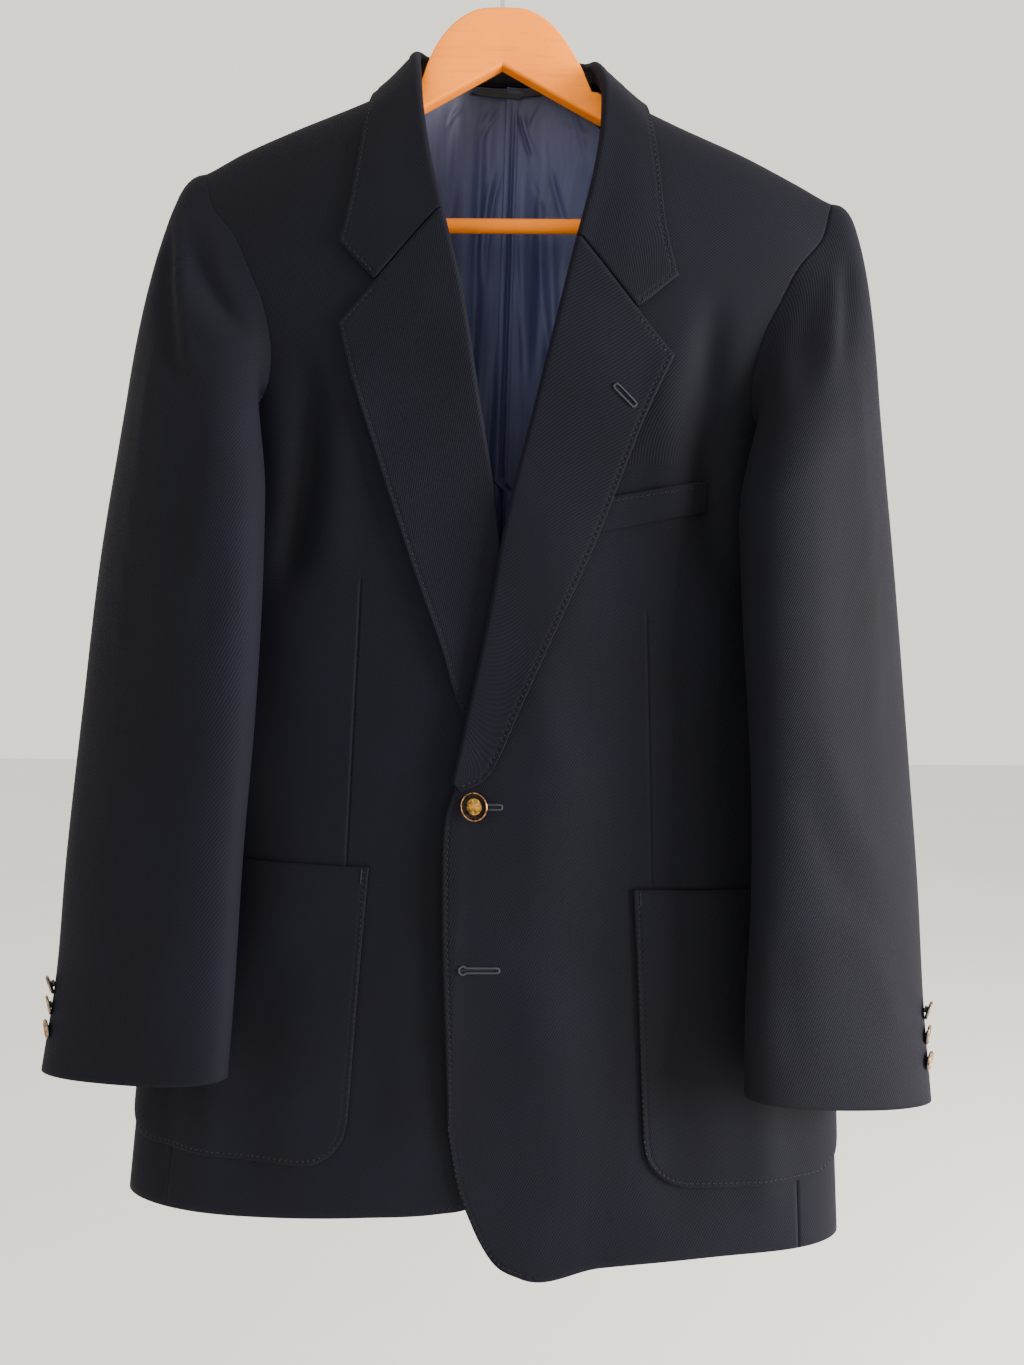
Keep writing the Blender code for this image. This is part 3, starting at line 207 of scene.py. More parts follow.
def formAt(side, phi, v):
    # a rounded superellipse for each row, closing to the shoulder line as v goes to 0
    phi, v = np.broadcast_arrays(np.asarray(phi, float), np.asarray(v, float))
    x = halfAt(side, v) * signedPower(np.sin(phi), 2 / body["round"])
    deep = signedPower(np.cos(phi), 2 / body["round"])
    drop = np.clip(v, 0, 1) ** 2
    swell = np.sqrt(1 - (1 - drop) ** body["crown"])
    front, back = spline(body["at"], body["front"], v), spline(body["at"], body["back"], v)
    y = -np.where(deep > 0, front, back) * deep * swell
    top, low = ridge(side, x, deep < 0), body["underarm"][side]
    z = np.where(v < 1, top + (low - top) * drop, low + (hemAt(side, phi) - low) * (v - 1))
    if side > 0:
        over = spline(lap["z"], lap["lift"], z) * (1 - ease(lap["full"], lap["none"], x))
        y = np.where(deep > 0, y - over, y)
    return np.stack((side * x, y, z), -1)


def normalOf(surface, side, phi, v):
    # outward normal of a surface of (side, phi, v), from small steps each way
    step = 0.004
    phi, v = np.broadcast_arrays(np.asarray(phi, float), np.asarray(v, float))
    down = surface(side, phi, np.clip(v + step, 0, 2)) - surface(side, phi, np.clip(v - step, 0, 2))
    around = surface(side, phi + step, v) - surface(side, phi - step, v)
    return unit(side * np.cross(down, around))


def creaseHeight(table, side, face, x, z):
    # each crease is a bell across a bowed line, faded out at both ends
    total = np.zeros(np.shape(x))
    for rowSide, rowFace, x0, z0, x1, z1, bow, width, depth in table:
        if rowSide != side or rowFace != face:
            continue
        length = math.hypot(x1 - x0, z1 - z0)
        ux, uz = (x1 - x0) / length, (z1 - z0) / length
        t = ((x - x0) * ux + (z - z0) * uz) / length
        away = (x - x0) * uz - (z - z0) * ux - bow * 4 * t * (1 - t)
        fade = ease(0, 0.3, t) * (1 - ease(0.7, 1.0, t))
        total = total + depth * fade * np.exp(-(away / width) ** 2)
    return total


def drape(side, points, v):
    # creases of the front or the back, and a slow wave all over, nothing at the shoulder
    x, z = side * points[..., 0], points[..., 2]
    front = creaseHeight(bodyCreases, side, "front", x, z)
    behind = creaseHeight(bodyCreases, side, "back", x, z)
    wave = (np.sin(x / roll["wide"] * 6.3 + side + z / roll["leanHigh"])
            * np.sin(z / roll["high"] * 6.3 + x / roll["leanWide"] + side))
    height = roll["deeper"] * np.where(points[..., 1] < 0, front, behind) + roll["size"] * wave
    facing = np.clip(np.abs(points[..., 1]) / 30, 0, 1)
    return height * facing * ease(0.12, 0.4, v) * ease(-34, 6, x)


def bodyAt(side, phi, v):
    phi, v = np.broadcast_arrays(np.asarray(phi, float), np.asarray(v, float))
    points = formAt(side, phi, v)
    return points + normalOf(formAt, side, phi, v) * drape(side, points, v)[..., None]


def bodyNormal(side, phi, v):
    return normalOf(bodyAt, side, phi, v)


def backPhi(side, x, v):
    return math.pi - np.arcsin(np.clip(signedPower(x / halfAt(side, v), body["round"] / 2), -1, 1))


def rowOf(side, phi, top, z):
    # the row at a height, for a point whose shoulder line stands at top
    low = body["underarm"][side]
    upper = np.sqrt(np.clip((top - z) / (top - low), 0, 1))
    lower = 1 + np.clip((z - low) / (hemAt(side, phi) - low), 0, 1)
    return np.where(z > low, upper, lower)


def frontAt(side, x, z):
    # angle and row of a point of the front, from its x outwards and its height
    x, z = np.broadcast_arrays(np.asarray(x, float), np.asarray(z, float))
    v = np.full(x.shape, 1.3)
    top = ridge(side, x, False)
    for turn in range(14):
        phi = np.arcsin(np.clip(signedPower(x / halfAt(side, v), body["round"] / 2), -1, 1))
        v = rowOf(side, phi, top, z)
    return phi, v


def backAt(side, x, z):
    x, z = np.broadcast_arrays(np.asarray(x, float), np.asarray(z, float))
    v = np.full(x.shape, 0.5)
    top = ridge(side, x, True)
    for turn in range(14):
        phi = backPhi(side, x, v)
        v = rowOf(side, phi, top, z)
    return phi, v


def onFront(side, x, z, lift):
    phi, v = frontAt(side, x, z)
    return bodyAt(side, phi, v) + bodyNormal(side, phi, v) * np.asarray(lift, float)[..., None]


def toWorld(points):
    c, s = math.cos(hang["tilt"]), math.sin(hang["tilt"])
    x, y, z = points[..., 0], points[..., 1], points[..., 2]
    return np.stack((hang["x"] + x * c + z * s, y, hang["z"] - x * s + z * c), -1)


def lineAt(grid, axis, closed=False):
    # direction at each point of a line: halfway between the steps before and after it
    if closed:
        steps = unit(np.roll(grid, -1, axis) - grid)
        return steps + np.roll(steps, 1, axis)
    steps = unit(np.diff(grid, axis=axis))
    first, last = steps.take([0], axis), steps.take([-1], axis)
    return np.concatenate((first, steps), axis) + np.concatenate((steps, last), axis)


def gridNormals(grid, closed=False):
    return unit(np.cross(lineAt(grid, 1, closed), lineAt(grid, 0)))


def lengths(line):
    # distance along a line of points, from its start
    return np.concatenate(([0], np.cumsum(np.linalg.norm(np.diff(line, axis=0), axis=1))))


def pointsAt(at, run, line):
    # the points of a line at some distances along it, where run is each given point's distance
    return np.stack([np.interp(at, run, line[:, k]) for k in range(3)], -1)


def addMesh(name, points, faces, finish, maps=None, hung=True):
    # faces is a list of index arrays, one for each number of corners, turned outwards together
    if hung:
        points = toWorld(points)
    volume = 0.0
    for block in faces:
        for k in range(1, block.shape[1] - 1):
            a, b, c = points[block[:, 0]], points[block[:, k]], points[block[:, k + 1]]
            volume += np.einsum("ij,ij->", a, np.cross(b, c))
    if volume < 0:
        faces = [block[:, ::-1] for block in faces]
    mesh = bpy.data.meshes.new(name)
    mesh.from_pydata((points * mm).tolist(), [], [row for block in faces for row in block.tolist()])
    for label, values in (maps or {}).items():
        layer = mesh.uv_layers.new(name=label)
        corners = np.zeros(len(mesh.loops), int)
        mesh.loops.foreach_get("vertex_index", corners)
        layer.data.foreach_set("uv", np.asarray(values, float)[corners].ravel())
    mesh.materials.append(finish)
    mesh.shade_smooth()
    made = bpy.data.objects.new(name, mesh)
    bpy.context.scene.collection.objects.link(made)
    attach(made, "root")
    return made


def weaveMap(grid, mirror):
    # metres across and up the cloth, counted from the middle of the piece
    across = np.concatenate((np.zeros((grid.shape[0], 1)),
                             np.cumsum(np.linalg.norm(np.diff(grid, axis=1), axis=-1), axis=1)), 1)
    down = np.concatenate((np.zeros((1, grid.shape[1])),
                           np.cumsum(np.linalg.norm(np.diff(grid, axis=0), axis=-1), axis=0)), 0)
    middleRow, middleColumn = grid.shape[0] // 2, grid.shape[1] // 2
    u = mirror * (across - across[:, [middleColumn]])
    v = down[[middleRow]] - down
    return np.stack((u, v), -1) * mm


def edgeMap(grid, lines):
    # metres along the nearest stitched edge, and in from it
    flat = grid.reshape(-1, 3)
    best = np.full(len(flat), 900.0)
    along = np.zeros(len(flat))
    for line in lines:
        start, step = line[:-1], np.diff(line, axis=0)
        square = np.maximum((step ** 2).sum(1), 1e-9)
        run = lengths(line)[:-1]
        for a, d, q, r in zip(start, step, square, run):
            t = np.clip(((flat - a) @ d) / q, 0, 1)
            far = np.linalg.norm(flat - a - t[:, None] * d, axis=1)
            nearer = far < best
            best = np.where(nearer, far, best)
            along = np.where(nearer, r + t * math.sqrt(q), along)
    return np.stack((along, best), -1).reshape(grid.shape[:2] + (2,)) * mm


def shell(name, grid, thick, finish, normals=None, mirror=1, edges=(), dart=None, sewn=()):
    # two layers over a grid of middle points, joined by a rim round the border, which is
    # rounded less where it is sewn
    rows, columns = grid.shape[:2]
    if normals is None:
        normals = gridNormals(grid)
    rims = {border: cloth["sewnRim" if border in sewn else "rim"]
            for border in ("first", "last", "left", "right")}
    near = grid.copy()
    near[0] += unit(grid[1] - grid[0]) * rims["first"]
    near[-1] += unit(grid[-2] - grid[-1]) * rims["last"]
    near[:, 0] += unit(grid[:, 1] - grid[:, 0]) * rims["left"]
    near[:, -1] += unit(grid[:, -2] - grid[:, -1]) * rims["right"]
    lift = normals * thick / 2
    index = np.arange(rows * columns).reshape(rows, columns)
    border = np.concatenate((index[0, :-1], index[:-1, -1], index[-1, :0:-1], index[:0:-1, 0]))
    points = np.concatenate([part.reshape(-1, 3) for part in (near + lift, near - lift)]
                            + [grid.reshape(-1, 3)[border]])
    a, b, c, d = (part.ravel() for part in (index[:-1, :-1], index[:-1, 1:], index[1:, 1:], index[1:, :-1]))
    other = rows * columns
    rim = 2 * other + np.arange(len(border))
    after, rimAfter = np.roll(border, -1), np.roll(rim, -1)
    faces = np.concatenate((np.stack((a, b, c, d), 1), np.stack((d, c, b, a), 1) + [other] * 4,
                            np.stack((after, border, rim, rimAfter), 1),
                            np.stack((rimAfter, rim, border + other, after + other), 1)))
    weave = weaveMap(grid, mirror).reshape(-1, 2)
    edge = edgeMap(grid, edges).reshape(-1, 2)
    fold = np.zeros((other, 2)) + [0.9, 0.0] if dart is None else dart.reshape(-1, 2)
    maps = {key: np.concatenate((values, values, values[border]))
            for key, values in (("weave", weave), ("edge", edge), ("dart", fold))}
    return addMesh(name, points, [faces], finish, maps)


def addNode(tree, kind, inputs=None, **settings):
    # one node with its settings; an input is a value, a socket, or a node whose main output it takes
    node = tree.nodes.new(kind)
    for key, value in settings.items():
        setattr(node, key, value)
    for key, value in (inputs or {}).items():
        if isinstance(value, bpy.types.Node):
            value = value.outputs.get("Fac") or [out for out in value.outputs if out.enabled][0]
        if isinstance(value, bpy.types.NodeSocket):
            tree.links.new(value, node.inputs[key])
        else:
            node.inputs[key].default_value = value
    return node


def linear(hexColour):
    parts = [int(hexColour[i:i + 2], 16) / 255 for i in (1, 3, 5)]
    return (*[c / 12.92 if c <= 0.04045 else ((c + 0.055) / 1.055) ** 2.4 for c in parts], 1.0)


def newMaterial(name, **constants):
    made = bpy.data.materials.new(name)
    made.use_nodes = True
    tree = made.node_tree
    shader = tree.nodes["Principled BSDF"]
    for key, value in constants.items():
        shader.inputs[key].default_value = value
    return made, tree, shader


def calculate(tree, operation, *values):
    return addNode(tree, "ShaderNodeMath", dict(enumerate(values)), operation=operation)


def mixColours(tree, share, first, second):
    # from the first colour to the second as share goes from 0 to 1
    return addNode(tree, "ShaderNodeMix", {0: share, 6: first, 7: second}, data_type="RGBA").outputs[2]


def placeOn(tree):
    # metres along the axes of the piece
    return addNode(tree, "ShaderNodeTexCoord").outputs["Object"]


def connect(tree, shader, sources):
    # a source is a socket, or a node whose first output is taken
    for key, source in sources.items():
        socket = source.outputs[0] if isinstance(source, bpy.types.Node) else source
        tree.links.new(socket, shader.inputs[key])


# how many wave bands a texture of scale 1 has in a metre, turned round: scale = bandScale / period in mm
bandScale = 2 * math.pi / 20 / mm

# lengths and depths in mm, the rib's slant in degrees
wool = {"dark": "#050509", "light": "#0f101c", "wale": 1.75, "slant": 30.0, "waleDepth": 0.16,
        "pick": 1.0, "pickDepth": 0.05, "stitchIn": 3.6, "stitchStep": 4.2, "stitchWide": 1.2,
        "stitchDepth": -0.34, "stitchBeat": 0.22, "dartWide": 1.0, "dartDepth": -1.1}


def woolTwill():
    # worsted wool twill, woven and pressed: matt and close, with a steep diagonal rib and a slight
    # bloom. The real rib is about 1 mm apart and is drawn at 1.75 mm, so that it shows in the render.
    made, tree, shader = newMaterial("wool_twill", **{
        "Roughness": 0.75, "Specular IOR Level": 0.08, "Sheen Weight": 0.022, "Sheen Roughness": 0.5,
        "Sheen Tint": linear("#a5a5bb")})
    weave = addNode(tree, "ShaderNodeUVMap", uv_map="weave")
    turned = addNode(tree, "ShaderNodeMapping", {
        "Vector": weave, "Rotation": (0, 0, math.radians(wool["slant"]))})
    rib = addNode(tree, "ShaderNodeTexWave", {
        "Vector": turned, "Scale": bandScale / wool["wale"], "Distortion": 0.5, "Detail": 1.0})
    pick = addNode(tree, "ShaderNodeTexWave", {
        "Vector": weave, "Scale": bandScale / wool["pick"], "Distortion": 0.8, "Detail": 1.0},
        bands_direction="Y")
    yarn = addNode(tree, "ShaderNodeTexNoise", {"Vector": weave, "Scale": 900.0, "Detail": 2.0})
    cloudy = addNode(tree, "ShaderNodeTexNoise", {"Vector": placeOn(tree), "Scale": 14.0, "Detail": 3.0})

    # colour: ribs lighter than the gaps between them, which is painted shade in the gaps; each yarn a
    # little its own, and slow cloudiness
    tone = 0.0
    for part, share in ((rib, 0.3), (yarn, 0.6), (cloudy, 0.4)):
        tone = calculate(tree, "MULTIPLY_ADD", part, share, tone)
    tone = addNode(tree, "ShaderNodeMapRange", {"Value": tone, "From Min": 0.2, "From Max": 1.1})
    colour = mixColours(tree, tone, linear(wool["dark"]), linear(wool["light"]))

    # height in mm: rib and pick, then the dimpled line of edge stitches, then the dart's groove
    height = calculate(tree, "MULTIPLY_ADD", rib, wool["waleDepth"], 0.0)
    height = calculate(tree, "MULTIPLY_ADD", pick, wool["pickDepth"], height)
    edge = addNode(tree, "ShaderNodeSeparateXYZ", {0: addNode(tree, "ShaderNodeUVMap", uv_map="edge")})
    beat = calculate(tree, "MULTIPLY", edge.outputs["X"], 2 * math.pi / (wool["stitchStep"] * mm))
    beat = calculate(tree, "COSINE", beat)
    dimple = calculate(tree, "MULTIPLY_ADD", beat, wool["stitchBeat"], wool["stitchDepth"])
    fold = addNode(tree, "ShaderNodeSeparateXYZ", {0: addNode(tree, "ShaderNodeUVMap", uv_map="dart")})
    sewn = calculate(tree, "MULTIPLY", fold.outputs["Y"], wool["dartDepth"])
    lines = ((edge.outputs["Y"], wool["stitchIn"], wool["stitchWide"], dimple),
             (fold.outputs["X"], 0.0, wool["dartWide"], sewn))
    for distance, centre, width, depth in lines:
        # a bell across the line: exp of minus the square of the distance over the width
        away = calculate(tree, "SUBTRACT", distance, centre * mm)
        away = calculate(tree, "DIVIDE", away, width * mm)
        away = calculate(tree, "MULTIPLY", away, away)
        bell = calculate(tree, "EXPONENT", calculate(tree, "MULTIPLY", away, -1.0))
        height = calculate(tree, "MULTIPLY_ADD", bell, depth, height)
    bump = addNode(tree, "ShaderNodeBump", {"Height": height, "Distance": mm, "Strength": 0.8})
    connect(tree, shader, {"Base Color": colour, "Normal": bump})
    return made


# the satin's colours in shade and in light, and the greyer colour of the painted reflection; the warp's
# period in mm; the height in metres from which the painted reflection turns it greyer, and where fully so
satin = {"dark": "#1f233c", "light": "#454c77", "reflectionGrey": "#2e2e34", "warp": 0.9, "reflectionHeights": (-0.2, -0.12)}


def satinLining():
    # acetate satin, woven with long floats: smooth and shiny along its folds, fine warp lines down it
    made, tree, shader = newMaterial("acetate_satin", **{
        "Roughness": 0.5, "Specular IOR Level": 0.28, "Anisotropic": 0.2,
        "Sheen Weight": 0.05, "Sheen Roughness": 0.3})
    weave = addNode(tree, "ShaderNodeUVMap", uv_map="weave")
    warp = addNode(tree, "ShaderNodeTexWave", {
        "Vector": weave, "Scale": bandScale / satin["warp"], "Distortion": 1.0})
    streak = addNode(tree, "ShaderNodeMapping", {"Vector": weave, "Scale": (1.0, 0.06, 1.0)})
    streak = addNode(tree, "ShaderNodeTexNoise", {"Vector": streak, "Scale": 260.0, "Detail": 2.0})
    # colour: long streaks between the satin's shaded and lit colours, painted light and shade along its
    # folds, with the warp lines a little darker in their dips, painted shade
    tone = calculate(tree, "MULTIPLY_ADD", streak, 0.7, 0.0)
    tone = calculate(tree, "MULTIPLY_ADD", warp, 0.15, tone)
    plain = mixColours(tree, tone, linear(satin["dark"]), linear(satin["light"]))
    # painted reflection: greyer towards the top of the back, standing in for the greyish light that the
    # satin reflects there
    high = addNode(tree, "ShaderNodeSeparateXYZ", {0: placeOn(tree)})
    reflectionShare = addNode(tree, "ShaderNodeMapRange", {
        "Value": high.outputs["Z"], "From Min": satin["reflectionHeights"][0], "From Max": satin["reflectionHeights"][1],
        "To Max": 0.5}, interpolation_type="SMOOTHSTEP")
    bump = addNode(tree, "ShaderNodeBump", {"Height": warp, "Distance": 0.05 * mm, "Strength": 0.6})
    colour = mixColours(tree, reflectionShare, plain, linear(satin["reflectionGrey"]))
    connect(tree, shader, {"Base Color": colour, "Normal": bump})
    return made


tape = {"dark": "#0e110f", "light": "#23292a", "rib": 0.8, "ribDepth": 0.15}


def grosgrainTape():
    # ribbed cotton tape, woven: matt, with fine cross ribs
    made, tree, shader = newMaterial("cotton_tape", Roughness=0.75)
    weave = addNode(tree, "ShaderNodeUVMap", uv_map="weave")
    rib = addNode(tree, "ShaderNodeTexWave", {"Vector": weave, "Scale": bandScale / tape["rib"]})
    # the gaps between the ribs darker: painted shade
    colour = mixColours(tree, rib, linear(tape["dark"]), linear(tape["light"]))
    bump = addNode(tree, "ShaderNodeBump", {"Height": rib, "Distance": tape["ribDepth"] * mm})
    connect(tree, shader, {"Base Color": colour, "Normal": bump})
    return made


def silkThread(name, dark, light):
    # twisted silk thread: a low gloss, with a twist 0.9 mm apart
    made, tree, shader = newMaterial(name, **{"Roughness": 0.55, "Specular IOR Level": 0.2})
    twist = addNode(tree, "ShaderNodeTexWave", {"Vector": placeOn(tree), "Scale": bandScale / 0.9},
                    bands_direction="DIAGONAL")
    bump = addNode(tree, "ShaderNodeBump", {"Height": twist, "Distance": 0.1 * mm})
    # the twist's grooves darker: painted shade
    colour = mixColours(tree, twist, linear(dark), linear(light))
    connect(tree, shader, {"Base Color": colour, "Normal": bump})
    return made


# the widths of the grain and of the flecks in mm
wood = {"pale": "#fb8c04", "mid": "#ee7c02", "vein": "#b9712c", "grain": 4.5, "fleck": 2.64}


def lacqueredBeech():
    # steamed beech, sawn, sanded and clear lacquered: warm, faint long grain, short darker flecks
    made, tree, shader = newMaterial("lacquered_beech", **{
        "Roughness": 0.42, "Specular IOR Level": 0.1, "Coat Weight": 0.05, "Coat Roughness": 0.18})
    place = placeOn(tree)
    # long grain runs with the wood's length, along X
    grain = addNode(tree, "ShaderNodeMapping", {"Vector": place, "Scale": (0.07, 1.0, 1.0)})
    grain = addNode(tree, "ShaderNodeTexNoise", {
        "Vector": grain, "Scale": 1 / (wood["grain"] * mm), "Detail": 4.0, "Distortion": 0.6})
    fleck = addNode(tree, "ShaderNodeMapping", {"Vector": place, "Scale": (0.2, 1.0, 1.0)})
    fleck = addNode(tree, "ShaderNodeTexVoronoi", {"Vector": fleck, "Scale": 1 / (wood["fleck"] * mm)})
    bands = addNode(tree, "ShaderNodeTexNoise", {"Vector": place, "Scale": 22.0, "Detail": 1.0})
    veins = addNode(tree, "ShaderNodeMapRange", {
        "Value": grain, "From Min": 0.52, "From Max": 0.72, "To Max": 0.4})
    spots = addNode(tree, "ShaderNodeMapRange", {
        "Value": fleck, "From Min": 0.16, "From Max": 0.05, "To Max": 0.3})
    colour = mixColours(tree, bands, linear(wood["mid"]), linear(wood["pale"]))
    for share in (veins, spots):
        colour = mixColours(tree, share, colour, linear(wood["vein"]))
    rough = addNode(tree, "ShaderNodeMapRange", {"Value": grain, "To Min": 0.36, "To Max": 0.5})
    bump = addNode(tree, "ShaderNodeBump", {"Height": grain, "Distance": 0.08 * mm})
    connect(tree, shader, {"Base Color": colour, "Roughness": rough, "Normal": bump})
    return made


def castMetal(name, bright, deep, rough):
    # die-cast zinc, plated and darkened: brighter where handling has rubbed it, darker in recesses
    made, tree, shader = newMaterial(name, Metallic=1.0)
    place = placeOn(tree)
    stain = addNode(tree, "ShaderNodeTexNoise", {"Vector": place, "Scale": 420.0, "Detail": 3.0})
    pits = addNode(tree, "ShaderNodeTexNoise", {"Vector": place, "Scale": 2200.0, "Detail": 1.0})
    share = addNode(tree, "ShaderNodeMapRange", {"Value": stain, "From Min": 0.35, "From Max": 0.65})
    gloss = addNode(tree, "ShaderNodeMapRange", {
        "Value": stain, "To Min": rough + 0.12, "To Max": rough - 0.08})
    bump = addNode(tree, "ShaderNodeBump", {"Height": pits, "Distance": 0.06 * mm})
    connect(tree, shader, {"Base Color": mixColours(tree, share, linear(deep), linear(bright)),
                           "Roughness": gloss, "Normal": bump})
    return made


def steelWire():
    # drawn steel wire, zinc plated: bright, with fine lines along it
    made, tree, shader = newMaterial("zinc_plated_steel", **{
        "Metallic": 1.0, "Base Color": linear("#c3c5c8")})
    drawn = addNode(tree, "ShaderNodeTexNoise", {"Vector": placeOn(tree), "Scale": 700.0, "Detail": 2.0})
    gloss = addNode(tree, "ShaderNodeMapRange", {"Value": drawn, "To Min": 0.2, "To Max": 0.38})
    bump = addNode(tree, "ShaderNodeBump", {"Height": drawn, "Distance": 0.03 * mm})
    connect(tree, shader, {"Roughness": gloss, "Normal": bump})
    return made


woolFinish = woolTwill()
satinFinish = satinLining()
tapeFinish = grosgrainTape()
threadFinish = silkThread("silk_thread", "#050608", "#14151b")
holeFinish = silkThread("buttonhole_silk", "#14151b", "#33353f")
woodFinish = lacqueredBeech()
rimFinish = castMetal("darkened_brass_rim", "#8c877d", "#4f4b45", 0.42)
darkFinish = castMetal("oxidised_brass", "#2a2622", "#0d0c0c", 0.42)
beadFinish = castMetal("rubbed_copper", "#b98a5c", "#4a3524", 0.3)
goldFinish = castMetal("rubbed_gilt", "#b98a3e", "#5e4420", 0.4)
steelFinish = steelWire()
print("materials made")


def dress(piece, node):
    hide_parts(node)


# fronts, sides and backs

# a dart's ends as x outwards and height; how far the front edge's stitches go on along the hem
front = {"dart": {1: (99.0, -365.0, 112.0, -563.0), -1: (97.9, -350.0, 102.3, -555.0)}, "underTo": 40.0}


def trimmed(side, phi, v, amount):
    # move an edge round the body by a distance in millimetres
    step = 0.002
    moved = formAt(side, phi + step, v) - formAt(side, phi - step, v)
    return phi + amount * 2 * step / np.linalg.norm(moved, axis=-1)


def rollReach(side, z):
    # distance from the visible roll to the edge of the cloth that turns there
    table = lapel[side]
    gap = spline(table["rollZ"][::-1], table["rollGap"][::-1], z)
    return ((gap + wall) / 2 + wall / 2) * ease(breakZ[side] - 3, breakZ[side] + 12, z)


def panelEdge(side, z):
    return spline(edgeZ[side], edgeX[side], z) + rollReach(side, z)


def panelCut(side, z):
    return panelEdge(side, z) + lapelGrid["rollClear"] * ease(breakZ[side] - 3, breakZ[side] + 12, z)


def frontInner(side, rows):
    # the angle at which each row meets the free edge, found step by step
    phi = np.zeros(len(rows))
    for turn in range(60):
        z = formAt(side, phi, rows)[..., 2]
        out = signedPower(panelCut(side, z) / halfAt(side, rows), body["round"] / 2)
        phi = phi + 0.5 * (np.arcsin(np.clip(out, -1, 1)) - phi)
    return phi


def bodyPanel(side, rows, inner, outer, share):
    phi = inner[:, None] + (outer - inner)[:, None] * np.asarray(share)[None, :]
    v = np.broadcast_to(rows[:, None], phi.shape)
    normals = bodyNormal(side, phi, v)
    return bodyAt(side, phi, v) - normals * wall / 2, normals


topRow = body["upperRows"][0]


def neckRow(side, x):
    # row at which the back neckline lies, next to nothing outside the neck
    out = np.abs(side * x - neck["middle"])
    top = ridge(side, x, True)
    line = spline(neck["at"], neck["height"], out)
    row = np.sqrt(np.clip((top - line) / (top - body["underarm"][side]), 0, 1))
    return np.where(out < neck["half"], np.maximum(row, topRow), topRow)


def centreBack(side, v):
    # the centre back seam runs from the middle of the neck to the middle of the back
    z = formAt(side, math.pi, v)[..., 2]
    return side * neck["middle"] * ease(-330, -60, z)


def backPanel(side, rows, outer, columns):
    share = np.linspace(0, 1, columns)
    v = np.broadcast_to(rows[:, None], (len(rows), columns)).copy()
    for turn in range(16):
        inner = backPhi(side, centreBack(side, v[:, 0]) + cloth["seam"] / 2, v[:, 0])
        phi = inner[:, None] + (outer - inner)[:, None] * share[None, :]
        x = halfAt(side, v) * signedPower(np.sin(phi), 2 / body["round"])
        start = neckRow(side, x)
        v = np.where(rows[:, None] < 1, start + (1 - start) * rows[:, None], rows[:, None])
    normals = bodyNormal(side, phi, v)
    return bodyAt(side, phi, v) - normals * wall / 2, normals


def dartMap(side, grid):
    # signed metres from the dart's line, and how much of the dart there is at that height
    x0, z0, x1, z1 = front["dart"][side]
    x, z = side * grid[..., 0], grid[..., 2]
    length = math.hypot(x1 - x0, z1 - z0)
    away = ((x - x0) * (z1 - z0) - (z - z0) * (x1 - x0)) / length
    t = (z - z0) / (z1 - z0)
    return np.stack((away * mm, ease(0.0, 0.06, t) * (1 - ease(0.98, 1.02, t))), -1)


def makeBody():
    rows = finer(body["upperRows"] + body["lowerRows"], body["finer"])
    lower = rows[rows >= 1.0]
    half = cloth["seam"] / 2
    made = {}
    for side, label in sides.items():
        frontPhi = np.radians(spline(armhole["row"], armhole["front"], rows))
        backPhiEdge = np.radians(spline(armhole["row"], armhole["back"], rows))
        frontOut = trimmed(side, np.where(rows < 1, frontPhi, body["frontSeam"]), rows, -half)
        backOut = trimmed(side, np.where(rows < 1, backPhiEdge, body["backSeam"]), rows, half)

        share = finer(body["frontShare"], body["finer"])
        grid, normals = bodyPanel(side, rows, frontInner(side, rows), frontOut, share)
        free = grid[:, 0][grid[:, 0, 2] < breakZ[side] + 6]
        under = grid[-1][side * grid[-1, :, 0] < front["underTo"]]
        piece = shell("cloth_front_" + label, grid, wall, woolFinish, normals, side,
                      [np.concatenate((free, under[1:]))], dartMap(side, grid), ("first", "right"))
        dress(piece, "front_" + label)
        made["front", side] = (grid, normals)

        sideIn = trimmed(side, np.full(len(lower), body["frontSeam"]), lower, half)
        sideOut = trimmed(side, np.full(len(lower), body["backSeam"]), lower, -half)
        grid, normals = bodyPanel(side, lower, sideIn, sideOut, np.linspace(0, 1, body["sideColumns"]))
        piece = shell("cloth_side_" + label, grid, wall, woolFinish, normals, side,
                      sewn=("left", "right", "first"))
        dress(piece, "side_" + label)

        grid, normals = backPanel(side, rows, backOut, body["backColumns"])
        piece = shell("cloth_back_" + label, grid, wall, woolFinish, normals, -side,
                      sewn=("left", "right", "first"))
        dress(piece, "back_" + label)
    return made


bodyGrids = makeBody()
print("fronts, sides and backs made")


# lapels: each row leaves the roll, turns over a bend and lies back on the front

def lapelTurn(side, z, gap, degrees):
    # the bend where a lapel turns over the front's edge at one height
    radius, turns = (gap + wall) / 2, np.radians(degrees)
    points = onFront(side, float(panelEdge(side, z)), z, gap / 2 + radius * np.sin(turns))
    points[:, 0] += side * radius * np.cos(turns)
    return points


